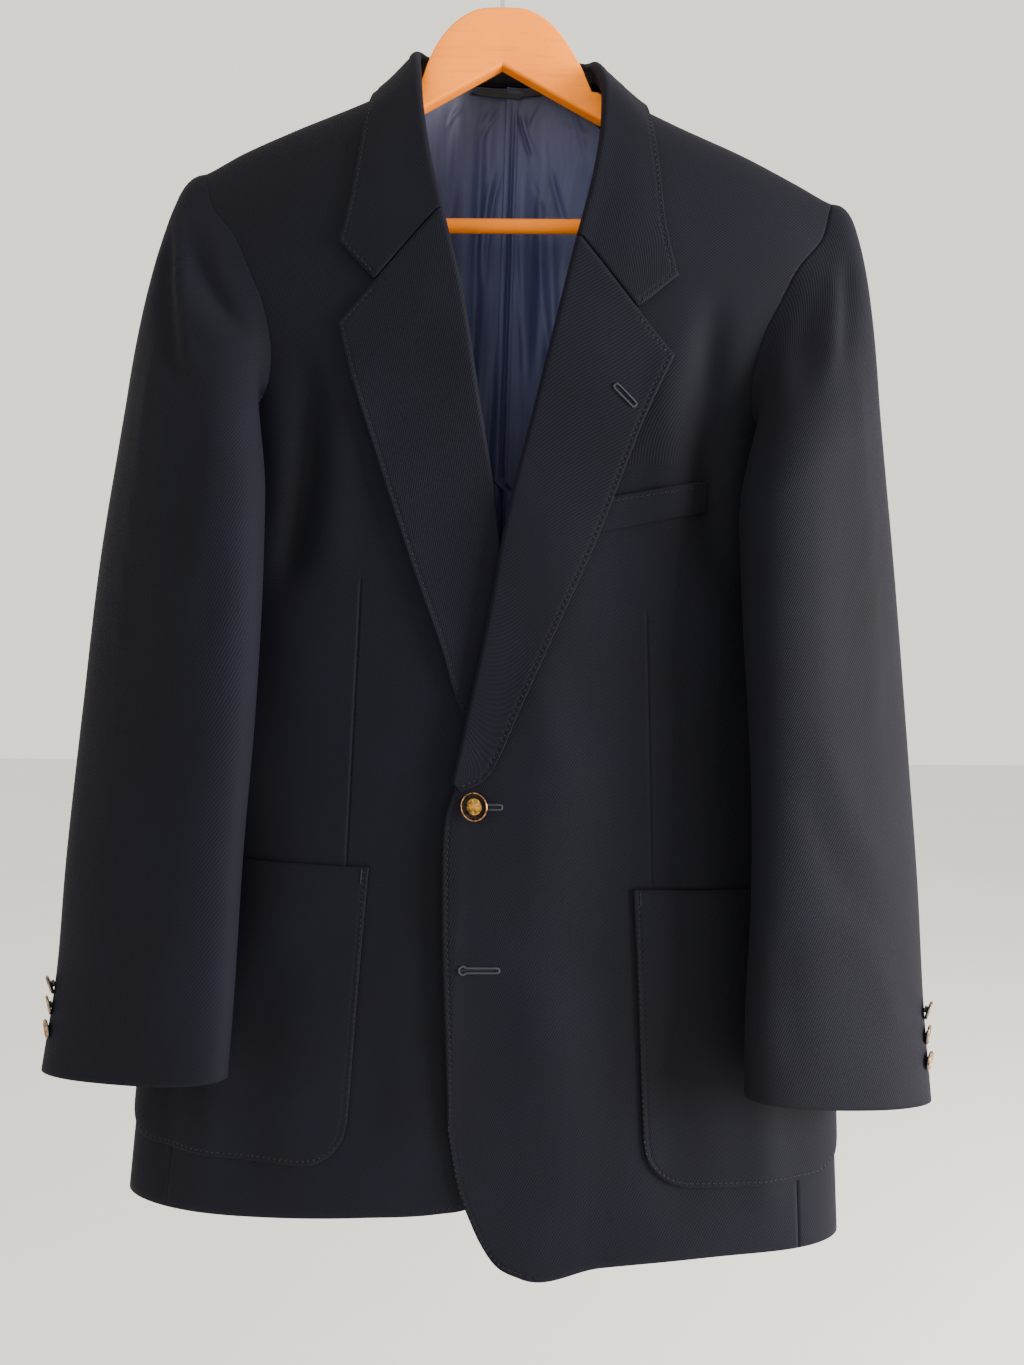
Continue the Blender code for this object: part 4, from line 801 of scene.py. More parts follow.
def lapelSurface(side):
    table = lapel[side]
    share = np.linspace(0, lapelGrid["reach"], lapelGrid["rows"])
    knots = np.linspace(0, 1, len(table["rollZ"]))
    read = {key: spline(knots, values, share)[:, None] for key, values in table.items()}
    turns = np.radians(np.linspace(*lapelGrid["turn"], lapelGrid["turnColumns"]))
    across = np.linspace(0, 1, lapelGrid["acrossColumns"] + 1)[1:] ** 0.9
    gap = read["rollGap"]
    base = panelEdge(side, read["rollZ"])
    radius = (gap + wall) / 2
    x = np.concatenate((base + radius * np.cos(turns), base + (read["edgeX"] - base) * across), 1)
    fall = (read["edgeZ"] - read["rollZ"]) * across
    z = read["rollZ"] + np.concatenate((0 * radius * turns, fall), 1)
    flat = gap + (read["edgeGap"] - gap) * ease(0, 1, across) + wall / 2
    lift = np.concatenate((gap / 2 + radius * np.sin(turns), flat), 1)
    phi, v = frontAt(side, np.maximum(x, base), z)
    anchor = bodyAt(side, phi, v)
    normal = bodyNormal(side, phi, v)
    anchor[..., 0] += side * np.minimum(x - base, 0)
    return anchor + normal * lift[..., None]


def notchPoint(side):
    # where the collar's end leaves the lapel's top edge
    table, x = lapel[side], collar[side]["notch"]
    ends = (float(panelEdge(side, table["rollZ"][0])), table["edgeX"][0])
    return x, float(np.interp(x, ends, (table["rollZ"][0], table["edgeZ"][0])))


def pastNotch(side, line):
    # which points of a lapel's top edge, or of a collar's end, lie outside the notch
    return side * line[:, 0] > notchPoint(side)[0] + 2


def makeLapels():
    made = {}
    for side, label in sides.items():
        grid = lapelSurface(side)
        # below its tip the free edge springs a little off the front
        down = np.linspace(0, 1, len(grid))[:, None]
        out = np.clip(np.arange(grid.shape[1]) - lapelGrid["turnColumns"], 0, None)
        out = out / lapelGrid["acrossColumns"]
        rise = ease(0.04, 0.3, down) * (1 - ease(0.72, 1.0, down)) * out ** 2
        grid[..., 1] -= lapelGrid["spring"][side] * rise
        edges = [np.concatenate((grid[0][pastNotch(side, grid[0])], grid[1:, -1]))]
        normals = -side * gridNormals(grid)
        piece = shell("cloth_lapel_" + label, grid, wall, woolFinish, normals, side, edges)
        dress(piece, "lapel_" + label)
        made[side] = (grid, normals)
    return made


# collar: stations from the gorge to the centre back, with the fold, the outer edge and the neck seam

collar = {
    1: {"foldX": [40.3, 49.5, 55.3, 54.0, 49.5], "foldZ": [-119.0, -78.0, -29.5, 0.0, 24.0],
        "edgeX": [111.2, 102.0, 96.5, 91.5, 86.6], "edgeZ": [-141.0, -108.0, -64.0, -24.0, -3.5],
        "notch": 83.8},
    -1: {"foldX": [49.5, 60.0, 67.5, 72.0, 74.8], "foldZ": [-104.0, -66.0, -28.0, 0.0, 27.0],
         "edgeX": [121.3, 114.5, 110.0, 108.0, 104.6], "edgeZ": [-126.0, -94.0, -52.0, -22.0, -3.5],
         "notch": 94.5},
    "foldOut": [56.0, 36.0, 0.0], "foldY": [22.0, 33.0, 38.0], "backFoldZ": [36.0, 44.0, 49.0],
    "edgeOut": [82.0, 52.0, 0.0], "backEdgeZ": [-13.0, -3.0, 4.0],
    "radius": [2.5, 2.6, 2.8, 3.0, 3.2, 3.2, 3.2, 3.2],
    "standCut": [2.3, 2.3, 2.6, 4.6, 5.0, 3.4, 2.6, 2.6],
    # at the shoulder: depth and height of the fold, depth of the edge, height of the seam
    "shoulderFold": (-17.0, 7.0), "shoulderEdge": -22.0, "shoulderSeam": -6.0,
    "ridgeY": -1.0, "ridgeSeamUp": 0.6, "edgeClear": 1.6, "fallClear": 2.4, "fallEdgeClear": 1.4,
    "shoulderReach": 12.0, "endOut": 0.35, "endUp": 0.5, "tuck": 3.0,
    # degrees of the bend over the fold, and of the bend at the gorge, which follows the lapel's
    "bend": (270, 90), "gorgeBend": (238, 90), "knee": 0.66,
    "stations": 66, "standColumns": 20, "fallColumns": 30, "bendSteps": 37, "evenRounds": 6,
}


def collarStations(side):
    # the three lines of one half at its eight stations
    table, fold, edge, seam = collar[side], [], [], []
    radius, clear = collar["radius"][0], collar["edgeClear"] + wall / 2
    for i, (x, z) in enumerate(zip(table["foldX"], table["foldZ"])):
        ex, ez = table["edgeX"][i], table["edgeZ"][i]
        if i < 3:
            spot = onFront(side, x + radius + wall / 2, z, radius - wall / 2)
            fold.append(np.array((side * x, spot[1], spot[2])))
            edge.append(onFront(side, ex, ez, clear))
            seam.append(onFront(side, panelCut(side, z), z, -wall / 2))
        elif i == 3:
            y, up = collar["shoulderFold"]
            fold.append(np.array((side * x, y, z + up)))
            edge.append(np.array((side * ex, collar["shoulderEdge"], ez)))
            low = collar["shoulderSeam"]
            seam.append(onFront(side, panelCut(side, low), low, -wall / 2))
        else:
            fold.append(np.array((side * x, collar["ridgeY"], z)))
            edge.append(np.array((side * ex, collar["ridgeY"], ez)))
            cut = float(panelCut(side, z))
            top = float(ridge(side, cut, False)) + collar["ridgeSeamUp"]
            seam.append(np.array((side * cut, 0.0, top)))
    for i, out in enumerate(collar["foldOut"]):
        fold.append(np.array((neck["middle"] + side * out, collar["foldY"][i], collar["backFoldZ"][i])))
        x = side * neck["middle"] + collar["edgeOut"][i]
        v = rowOf(side, math.pi, float(ridge(side, x, True)), collar["backEdgeZ"][i])
        phi = backPhi(side, x, v)
        edge.append(bodyAt(side, phi, v) + bodyNormal(side, phi, v) * clear)
        x = side * neck["middle"] + out + 2.0 * (out > 0)
        v = neckRow(side, x)
        phi = backPhi(side, x, v)
        seam.append(bodyAt(side, phi, v) - bodyNormal(side, phi, v) * wall / 2)
    return np.array(fold), np.array(edge), np.array(seam)


def collarHalf(side, at):
    # at each station the stand rises from the seam and bends over the fold on an arc, and the
    # fall goes on to the edge
    fold, edge, seam = collarStations(side)
    shares = lengths(fold) / lengths(fold)[-1]
    foldAt, edgeAt, seamAt = [np.stack([spline(shares, line[:, k], at) for k in range(3)], -1)
                              for line in (fold, edge, seam)]
    radiusAt = spline(shares, collar["radius"], at)
    tangent = unit(lineAt(foldAt, 0))
    notch = onFront(side, *notchPoint(side), collar["edgeClear"] + wall / 2)
    fallShare = finer([0.0, 0.13, 0.28, 0.47, 0.66, 0.83, 1.0], collar["fallColumns"] // 6)[1:]
    turns = np.radians(np.linspace(*collar["bend"], collar["bendSteps"]))
    rows, gorgeBend, knee = [], None, collar["knee"]
    for i, share in enumerate(at):
        up = unit(foldAt[i] - (seamAt[i] + edgeAt[i]) / 2)
        hold = 1 - float(ease(shares[1], shares[3], share))
        up = unit(up * (1 - hold) + np.array((-side, 0.0, 0.0)) * hold)
        up = unit(up - tangent[i] * np.dot(up, tangent[i]))
        out = side * np.cross(tangent[i], up)
        radius = radiusAt[i]
        centre = foldAt[i] - up * (radius + wall / 2)
        arc = centre + radius * (np.outer(-np.cos(turns), up) + np.outer(np.sin(turns), out))
        path = np.vstack((seamAt[i], arc))
        run = lengths(path)
        begin = float(np.interp(share, shares, collar["standCut"]))
        stand = pointsAt(np.linspace(begin, run[-1], collar["standColumns"]), run, path)
        if i == 0:
            top, degrees = lapel[side], np.linspace(*collar["gorgeBend"], collar["standColumns"])
            stand = lapelTurn(side, top["rollZ"][0], top["rollGap"][0], degrees)
        start = stand[-1]
        fall = start + (edgeAt[i] - start) * fallShare[:, None]
        if gorgeBend is None:
            # the collar's end follows the lapel's top edge up to the notch
            bent = np.where(fallShare[:, None] < knee + 0.01,
                            start + (notch - start) * (fallShare / knee)[:, None],
                            notch + (edgeAt[i] - notch) * ((fallShare - knee) / (1 - knee))[:, None])
            gorgeBend = bent - fall
        fall = fall + gorgeBend * (1 - float(ease(0.0, shares[1] * 1.3, share))) ** 1.4
        rows.append(np.vstack((stand, fall)))
    grid = np.array(rows)

    # the fall rests a little clear of the fronts, the shoulders and the back
    fallen = grid[:, collar["standColumns"]:]
    edgeClear = collar["fallEdgeClear"]
    clear = wall / 2 + edgeClear + (collar["fallClear"] - edgeClear) * (1 - ease(0.5, 1.0, fallShare))
    x, z = side * fallen[..., 0], fallen[..., 2]
    below = z < ridge(side, x, False) - 1
    for way, finder in ((-1, frontAt), (1, backAt)):
        y = fallen[..., 1]
        phi, v = finder(side, x, z)
        facing = np.maximum(way * bodyNormal(side, phi, v)[..., 1], 0.4)
        rest = way * bodyAt(side, phi, v)[..., 1] + clear / facing
        fallen[..., 1] = np.where(below & (way * y > 0), way * np.maximum(way * y, rest), y)
    top = ridge(side, x, False) + clear + edgeClear
    fallen[..., 2] = np.where(np.abs(fallen[..., 1]) < collar["shoulderReach"], np.maximum(z, top), z)
    return grid


def smoothed(grid, first, rounds):
    # even out the columns from first on, keeping the grid's border where it is
    for turn in range(rounds):
        inner = (grid[:-2, first:-1] + grid[2:, first:-1]) / 2
        grid[1:-1, first:-1] = grid[1:-1, first:-1] * 0.5 + inner * 0.5
        edge = (grid[:-2, -1] + grid[2:, -1]) / 2
        grid[3:-3, -1] = (grid[1:-1, -1] * 0.5 + edge * 0.5)[2:-2]
    return grid


def makeCollar():
    at = np.linspace(0, 1, collar["stations"])
    left, right = collarHalf(1, at), collarHalf(-1, at)
    grid = np.concatenate((left[:-1], ((left[-1] + right[-1]) / 2)[None], right[:-1][::-1]))
    for row, side in ((0, 1), (-1, -1)):
        grid[row, :, 0] += side * collar["endOut"]
        grid[row, :, 2] += collar["endUp"]
    grid = smoothed(grid, collar["standColumns"] + 2, collar["evenRounds"])
    # its sewn edge is tucked under the neckline
    grid[1:-1, 0] += unit(grid[1:-1, 0] - grid[1:-1, 1]) * collar["tuck"]
    ends = [row[pastNotch(side, row)] for row, side in ((grid[0], 1), (grid[-1], -1))]
    edge = np.concatenate((ends[0], grid[1:-1, -1], ends[1][::-1]))
    normals = gridNormals(grid)
    if normals[0, -1, 1] > 0:
        normals = -normals
    piece = shell("cloth_collar", grid, wall, woolFinish, normals, 1, [edge])
    dress(piece, "collar")
    return grid, normals


lapelGrids = makeLapels()
collarGrid = makeCollar()
print("lapels and collar made")


# sleeves: inner edge, outer edge and the swell of the two faces of each section

sleeve = {
    1: {"innerX": [157.0, 163.5, 173.5, 177.5, 177.5, 179.5],
        "innerY": [-66.0, -72.0, -75.0, -76.0, -76.0, -76.0],
        "innerZ": [-285.0, -372.0, -478.0, -560.0, -640.0, -698.0],
        "outerX": [256.0, 273.0, 290.0, 302.0, 311.0, 319.6],
        "outerY": [-4.0, -12.0, -20.0, -26.0, -31.0, -34.0],
        "outerZ": [-222.0, -335.0, -462.0, -556.0, -645.0, -711.0],
        "front": [38.0, 34.0, 29.0, 26.0, 24.0, 23.0],
        "back": [6.0, 8.0, 9.0, 10.0, 11.0, 11.0]},
    -1: {"innerX": [164.0, 162.5, 164.5, 170.0, 173.5, 176.5],
         "innerY": [-66.0, -72.0, -75.0, -76.0, -76.0, -76.0],
         "innerZ": [-278.0, -366.0, -452.0, -545.0, -640.0, -699.0],
         "outerX": [263.5, 282.5, 293.5, 302.5, 307.0, 316.3],
         "outerY": [-4.0, -12.0, -20.0, -26.0, -31.0, -34.0],
         "outerZ": [-218.0, -340.0, -448.0, -555.0, -640.0, -713.0],
         "front": [38.0, 34.0, 29.0, 26.0, 24.0, 23.0],
         "back": [6.0, 8.0, 9.0, 10.0, 11.0, 11.0]},
}
# a share is a place round the armhole: 0 at the shoulder, 150 to 210 under the arm, 360 at the
# shoulder again; the tables give the sleeve's angle there at its first section and at the cuff
sleeveForm = {"midShare": [0.0, 60.0, 120.0, 150.0, 165.0, 180.0, 210.0, 270.0, 360.0],
              "midAngle": [0.0, 58.0, 152.0, 238.0, 272.0, 298.0, 324.0, 342.0, 360.0],
              "lowShare": [0.0, 135.0, 315.0, 360.0], "lowAngle": [0.0, 190.0, 345.0, 360.0],
              "capPull": 95.0, "armPull": 120.0, "gap": -0.35, "underDrop": 0.7,
              "capRows": 34, "armRows": 90, "finer": 4, "topFrom": 21, "topTo": 8,
              "backCreases": 0.6, "wave": 0.35}
# as the body's creases
sleeveCreases = [
    (-1, "front", 239.0, -96.0, 210.0, -232.0, -4.0, 4.5, 3.0),
    (-1, "front", 247.0, -98.0, 219.0, -250.0, -4.0, 6.0, -4.6),
    (-1, "front", 224.0, -98.0, 170.0, -192.0, -16.0, 8.0, -5.6),
    (-1, "front", 234.0, -120.0, 184.0, -208.0, -16.0, 8.0, 2.4),
    (-1, "front", 214.0, -195.0, 222.0, -380.0, 4.0, 13.0, -3.4),
    (-1, "front", 238.0, -160.0, 262.0, -470.0, -3.0, 2.6, 1.3),
    (-1, "front", 188.0, -250.0, 205.0, -430.0, 8.0, 12.0, -1.8),
    (-1, "front", 200.0, -420.0, 232.0, -600.0, -9.0, 15.0, -1.5),
    (-1, "front", 262.0, -420.0, 276.0, -680.0, 5.0, 12.0, 1.4),
    (-1, "front", 205.0, -560.0, 250.0, -690.0, 6.0, 13.0, 1.2),
    (1, "front", 224.0, -100.0, 212.0, -222.0, -3.0, 4.5, 2.4),
    (1, "front", 230.0, -104.0, 226.0, -200.0, -2.0, 5.5, -2.6),
    (1, "front", 209.0, -112.0, 196.0, -235.0, 3.0, 9.0, -2.2),
    (1, "front", 221.0, -118.0, 262.0, -560.0, -9.0, 2.6, 1.4),
    (1, "front", 216.0, -230.0, 232.0, -470.0, -6.0, 13.0, -1.5),
    (1, "front", 208.0, -430.0, 276.0, -560.0, 5.0, 8.0, 1.4),
    (1, "front", 200.0, -470.0, 262.0, -590.0, 5.0, 9.0, -1.3),
    (1, "front", 238.0, -560.0, 290.0, -668.0, -4.0, 8.0, 1.0),
    (1, "front", 196.0, -560.0, 214.0, -690.0, 4.0, 12.0, -1.3),
    (-1, "back", 236.0, -150.0, 258.0, -330.0, 5.0, 9.0, -1.8),
    (-1, "back", 226.0, -300.0, 268.0, -520.0, -6.0, 13.0, 1.5),
    (-1, "back", 218.0, -480.0, 276.0, -600.0, 6.0, 10.0, -1.5),
    (1, "back", 230.0, -160.0, 252.0, -320.0, 5.0, 10.0, -1.7),
    (1, "back", 222.0, -330.0, 270.0, -540.0, -6.0, 13.0, 1.4),
    (1, "back", 214.0, -500.0, 280.0, -610.0, 6.0, 10.0, -1.4),
]


def armholeLoop(share):
    # the body's armhole: down the front edge, under the arm and up the back edge
    front, back = share <= 150, share >= 210
    vFront, vBack = np.clip(share / 150, 0, 1), np.clip((360 - share) / 150, 0, 1)
    under = np.radians(np.clip((share - 150) / 60, 0, 1)) * 55 + body["frontSeam"]
    phi = np.where(front, np.radians(spline(armhole["row"], armhole["front"], vFront)),
                   np.where(back, np.radians(spline(armhole["row"], armhole["back"], vBack)), under))
    return phi, np.maximum(np.where(front, vFront, np.where(back, vBack, 1.0)), topRow)


def sleeveSection(side, row, angle):
    # a flat loop between the inner and outer edges, with its own swell at each face
    table = sleeve[side]
    knots = np.arange(len(table["innerX"]))
    row = np.broadcast_to(row, np.shape(angle))
    read = {key: spline(knots, values, row) for key, values in table.items()}
    inner = np.stack((read["innerX"], read["innerY"], read["innerZ"]), -1)
    outer = np.stack((read["outerX"], read["outerY"], read["outerZ"]), -1)
    centre, chord = (inner + outer) / 2, (outer - inner) / 2
    forward = unit(np.stack((chord[:, 1], -chord[:, 0], np.zeros(len(chord))), -1))
    turn = np.radians(angle)
    swell = np.where(np.sin(turn) > 0, read["front"], read["back"])
    lift = signedPower(np.sin(turn), 0.8) * swell
    points = centre + chord * signedPower(np.cos(turn), 0.9)[:, None] + forward * lift[:, None]
    return points * np.array((side, 1, 1))


def sleeveSurface(side):
    # the cap is a smooth cubic from the armhole to the arm's first section; below, the sections blend
    form = sleeveForm
    down = finer([0.0] + body["upperRows"][1:], form["finer"]) * 150
    under = np.linspace(150, 210, 6 * form["finer"] + 1)[1:-1]
    share = np.concatenate((down, under, 360 - down[:0:-1]))
    phi, v = armholeLoop(share)
    normal = bodyNormal(side, phi, v)
    skin = bodyAt(side, phi, v) - normal * wall / 2
    away = side * np.cross(normal, unit(np.roll(skin, -1, 0) - np.roll(skin, 1, 0)))
    firstAngle = spline(form["midShare"], form["midAngle"], share)
    lowAngle = np.interp(share, form["lowShare"], form["lowAngle"])
    low = np.exp(-((share - 172) / 46) ** 2)[:, None]
    firstRow = form["underDrop"] * np.exp(-((share - 180) / 50) ** 2)
    first = sleeveSection(side, firstRow, firstAngle)
    second = sleeveSection(side, firstRow + 0.35, firstAngle)
    start = skin + away * form["gap"]
    leave = unit(away * (1 - 0.8 * low) + normal * (0.35 + 1.4 * low))
    leave = leave * (form["capPull"] * (1 - 0.65 * low))
    arrive = unit(second - first) * form["armPull"]
    t = np.linspace(0, 1, form["capRows"])[:, None, None]
    cap = (start * (2 * t ** 3 - 3 * t ** 2 + 1) + leave * (t ** 3 - 2 * t ** 2 + t)
           + first * (3 * t ** 2 - 2 * t ** 3) + arrive * (t ** 3 - t ** 2))
    last = len(sleeve[side]["innerX"]) - 1
    rows = [cap]
    for k in range(1, form["armRows"] + 1):
        along = firstRow + (last - firstRow) * k / form["armRows"]
        angle = firstAngle + (lowAngle - firstAngle) * ease(0.2, 2.4, along)
        rows.append(sleeveSection(side, along, angle)[None])
    return np.concatenate(rows)


def creased(side, grid, normals):
    # the sleeve's own creases, full on the faces that look to the front or to the back
    x, z = side * grid[..., 0], grid[..., 2]
    facing = np.abs(normals[..., 1]) ** 0.7
    front = creaseHeight(sleeveCreases, side, "front", x, z)
    behind = creaseHeight(sleeveCreases, side, "back", x, z)
    # the two layers at the back lie close, so their creases are shallow
    height = np.where(normals[..., 1] < 0, front, sleeveForm["backCreases"] * behind)
    wave = sleeveForm["wave"] * np.sin(z / 61 + x / 23 + side) * np.sin(x / 31 - z / 140)
    height = (height + wave) * facing * ease(2, 12, np.arange(len(grid)))[:, None]
    return grid + normals * height[..., None]


def makeSleeves():
    form = sleeveForm
    for side, label in sides.items():
        grid = sleeveSurface(side)
        normals = gridNormals(grid, True)
        outward = np.sign(np.einsum("ijk,ijk->", normals, grid - grid.mean(1, keepdims=True)))
        grid = creased(side, grid, normals * outward)
        normals = gridNormals(grid, True) * outward
        count = grid.shape[1]
        topFrom, topTo = form["topFrom"] * form["finer"], form["topTo"] * form["finer"]
        columns = {"top": [k % count for k in range(topFrom, count + topTo + 1)],
                   "under": list(range(topTo, topFrom + 1))}
        for name, taken in columns.items():
            part = grid[:, taken].copy()
            first, final = unit(part[:, 1] - part[:, 0]), unit(part[:, -2] - part[:, -1])
            part[:, 0] += first * cloth["seam"]
            part[:, -1] += final * cloth["seam"]
            piece = shell("cloth_sleeve_%s_%s" % (label, name), part, wall, woolFinish, normals[:, taken],
                          -side, sewn=("left", "right", "first"))
            dress(piece, "sleeve_%s_%s" % (label, name))


makeSleeves()
print("sleeves made")


# patch pockets and the breast welt lie on the fronts, moved out from their surface

# the inner edge's x outwards at both ends, the heights of the top and bottom edges, the angle that the
# outer edge lies at; the welt's corners as x outwards and height
pocket = {1: {"topX": 98.4, "lowX": 106.5, "top": -563.0, "bottom": -777.0},
          -1: {"topX": 85.9, "lowX": 90.0, "top": -554.5, "bottom": -770.0},
          "turn": math.radians(86), "corner": 34.0, "lift": 0.7, "rows": 60, "columns": 72}
welt = {"topX": [52.0, 140.2], "topZ": [-296.5, -277.4], "lowX": [45.0, 139.2], "lowZ": [-322.0, -299.3],
        "lift": 0.5, "slack": 0.9, "wall": 1.5, "rows": 12, "columns": 40, "stitchIn": 4.0}


def pocketSurface(side):
    # rows run from the top edge to a bottom edge that is lifted in a quarter circle at both corners
    table = pocket[side]
    down = np.linspace(0, 1, pocket["rows"])[:, None]
    across = np.linspace(0, 1, pocket["columns"])[None, :] ** 1.15
    innerX = table["topX"] + (table["lowX"] - table["topX"]) * down
    phi = frontAt(side, innerX, table["top"])[0]
    phi = phi + (pocket["turn"] - phi) * across
    step = np.linalg.norm(np.diff(formAt(side, phi, 1.8), axis=1), axis=-1)
    width = np.concatenate((np.zeros((len(down), 1)), np.cumsum(step, 1)), 1)
    inset = np.clip(1 - width / pocket["corner"], 0, 1)
    outset = np.clip(1 - (width[:, -1:] - width) / pocket["corner"], 0, 1)
    lifted = pocket["corner"] * (1 - np.sqrt(1 - np.maximum(inset, outset) ** 2))
    z = table["top"] + (table["bottom"] + lifted - table["top"]) * down
    low = body["underarm"][side]
    v = 1 + (z - low) / (hemAt(side, phi) - low)
    normals = bodyNormal(side, phi, v)
    return bodyAt(side, phi, v) + normals * (pocket["lift"] + cloth["pocket"] / 2), normals


def makePockets():
    made = {}
    for side, label in sides.items():
        grid, normals = pocketSurface(side)
        edge = np.concatenate((grid[:, 0], grid[-1, 1:-1], grid[::-1, -1]))
        piece = shell("cloth_pocket_" + label, grid, cloth["pocket"], woolFinish, normals, side, [edge])
        dress(piece, "pocket_" + label)
        made[side] = (grid, normals)
    return made


def between(ends, share):
    return ends[0] + (ends[1] - ends[0]) * share


def makeWelt():
    down = np.linspace(0, 1, welt["rows"])[:, None]
    across = np.linspace(0, 1, welt["columns"])[None, :]
    x = between(welt["topX"], across) * (1 - down) + between(welt["lowX"], across) * down
    z = between(welt["topZ"], across) * (1 - down) + between(welt["lowZ"], across) * down
    phi, v = frontAt(1, x, z)
    normals = bodyNormal(1, phi, v)
    # the middle of the top edge stands a little off the front
    slack = welt["slack"] * np.sin(math.pi * across) * (1 - down) ** 2
    grid = bodyAt(1, phi, v) + normals * (welt["lift"] + welt["wall"] / 2 + slack)[..., None]
    edge = np.concatenate((grid[::-1, 0], grid[0, 1:-1], grid[:, -1]))
    piece = shell("cloth_welt", grid, welt["wall"], woolFinish, normals, 1, [edge])
    dress(piece, "welt_breast")
    return grid, normals


pocketGrids = makePockets()
weltGrid = makeWelt()
print("pockets and welt made")


# lining of the back with its centre pleat, and the hanger loop

lining = {"inset": 7.0, "clear": 3.0, "belowNeck": 13.5, "pleat": 2.0, "pleatWide": 0.1,
          "fold": 1.2, "folds": 17.0, "columns": 110, "finer": 9,
          "z": [12.0, -8.0, -30.0, -60.0, -95.0, -140.0, -190.0,
                -260.0, -350.0, -450.0, -550.0, -650.0, -740.0, -800.0],
          "reach": [56.0, 70.0, 90.0, 118.0, 142.0, 162.0, 174.0,
                    178.0, 178.0, 180.0, 184.0, 188.0, 192.0, 195.0]}
loop = {"half": 28.0, "high": 4.2, "taper": 0.45, "inset": 6.15, "bow": 2.0, "sag": 1.6, "wall": 1.2,
        "belowNeck": 0.03, "rows": 9, "columns": 41}

# creases as above, but x counts to the garment's left, and above 0 they stand towards the viewer
satinCreases = [(1, "lining") + row for row in (
    (-7.0, 60.0, -5.0, -420.0, 0.0, 1.7, -3.4), (-4.2, 60.0, -2.4, -420.0, 0.0, 0.9, 1.5),
    (-32.0, 60.0, -36.0, -330.0, -3.0, 5.0, -3.8), (-26.0, 18.0, -30.0, -150.0, -2.0, 4.0, 1.8),
    (-46.0, 30.0, -52.0, -160.0, 3.0, 5.0, -1.6), (-56.0, 16.0, -60.0, -90.0, -3.0, 5.0, 1.6),
    (-11.0, -26.0, -23.0, -130.0, 5.0, 2.4, -1.8), (-17.0, -30.0, -27.0, -120.0, 5.0, 1.8, 1.3),
    (-12.0, 7.0, -31.0, -20.0, 3.0, 1.8, -1.5), (-16.0, 7.0, -34.0, -16.0, 3.0, 1.6, 1.0),
    (-4.0, 6.0, 11.0, -34.0, 1.0, 1.5, -1.9), (0.0, 4.0, 14.0, -32.0, 1.0, 1.6, 1.0),
    (20.0, 15.0, 3.0, -13.0, 3.0, 1.6, -1.6), (24.0, 12.0, 8.0, -14.0, 3.0, 1.8, 1.1),
    (34.0, 10.0, 49.0, -34.0, -3.0, 2.0, -1.7), (24.0, -9.0, 58.0, -18.0, -2.0, 1.6, -1.1),
    (9.0, -46.0, 30.0, -70.0, 1.0, 1.4, 1.3), (23.0, -34.0, 40.0, -84.0, 1.0, 2.6, -2.0),
    (15.0, -30.0, 17.0, -200.0, -2.0, 4.0, -2.8), (17.0, -80.0, 38.0, -230.0, 2.0, 4.5, -2.6),
    (5.0, -20.0, 6.0, -190.0, 1.0, 4.5, 1.8), (26.0, -60.0, 34.0, -190.0, 1.0, 4.0, 1.6),
    (-1.0, -84.0, 10.0, -200.0, 0.0, 2.0, -1.4), (-44.0, 4.0, -58.0, -14.0, 2.0, 1.6, -1.2),
    (-14.0, -140.0, -17.0, -420.0, 1.0, 3.5, -2.2), (-27.0, -140.0, -24.0, -420.0, 1.0, 3.0, 2.0),
    (44.0, -60.0, 52.0, -300.0, 2.0, 6.0, 2.0), (62.0, -60.0, 76.0, -400.0, 2.0, 8.0, -2.4),
    (-70.0, -60.0, -80.0, -400.0, -2.0, 8.0, -2.4), (-94.0, -140.0, -104.0, -600.0, 3.0, 11.0, 2.4),
    (96.0, -140.0, 106.0, -600.0, -3.0, 11.0, 2.4), (22.0, -300.0, 26.0, -780.0, 2.0, 8.0, -2.4),
    (-24.0, -330.0, -30.0, -780.0, -2.0, 8.0, -2.4), (0.0, -330.0, 2.0, -790.0, 1.0, 6.0, 2.2))]


def makeLining():
    levels = finer(lining["z"], lining["finer"])[:, None]
    reach = finer(lining["reach"], lining["finer"])[:, None]
    soft, high = ease(10, -90, levels), 1 - ease(12, -50, levels)
    halves = []
    for side in (-1, 1):
        s = np.linspace(0, 1, lining["columns"] + 1)[None, :] ** 1.4
        middle = np.where(levels < body["underarm"][side], centreBack(side, 1.0), centreBack(side, 0.5))
        x = middle + s * (reach + side * neck["middle"] * high - middle)
        # the top row follows the neckline a little below its seam
        fromNeck = np.abs(side * x - neck["middle"])
        line = spline(neck["at"], neck["height"], fromNeck)
        z = levels + (line - lining["belowNeck"]) * high
        phi, v = backAt(side, x, z)
        s = s * side
        fade = 1 - np.abs(s) ** 4
        fold = lining["fold"] * np.sin(s * lining["folds"]) * soft * fade
        pleat = lining["pleat"] * np.exp(-(s / lining["pleatWide"]) ** 2) * soft
        clear = lining["clear"] + (lining["inset"] - lining["clear"]) * soft
        depth = wall + cloth["lining"] / 2 + clear + fold + pleat
        depth = depth + creaseHeight(satinCreases, 1, "lining", side * x, z) * fade * ease(17, -6, z)
        inward = normalOf(formAt, side, phi, v) * np.maximum(depth, lining["clear"])[..., None]
        halves.append(formAt(side, phi, v) - inward)
    grid = np.concatenate((halves[0][:, :0:-1], halves[1]), 1)
    piece = shell("lining_satin", grid, cloth["lining"], satinFinish)
    dress(piece, "lining_back")


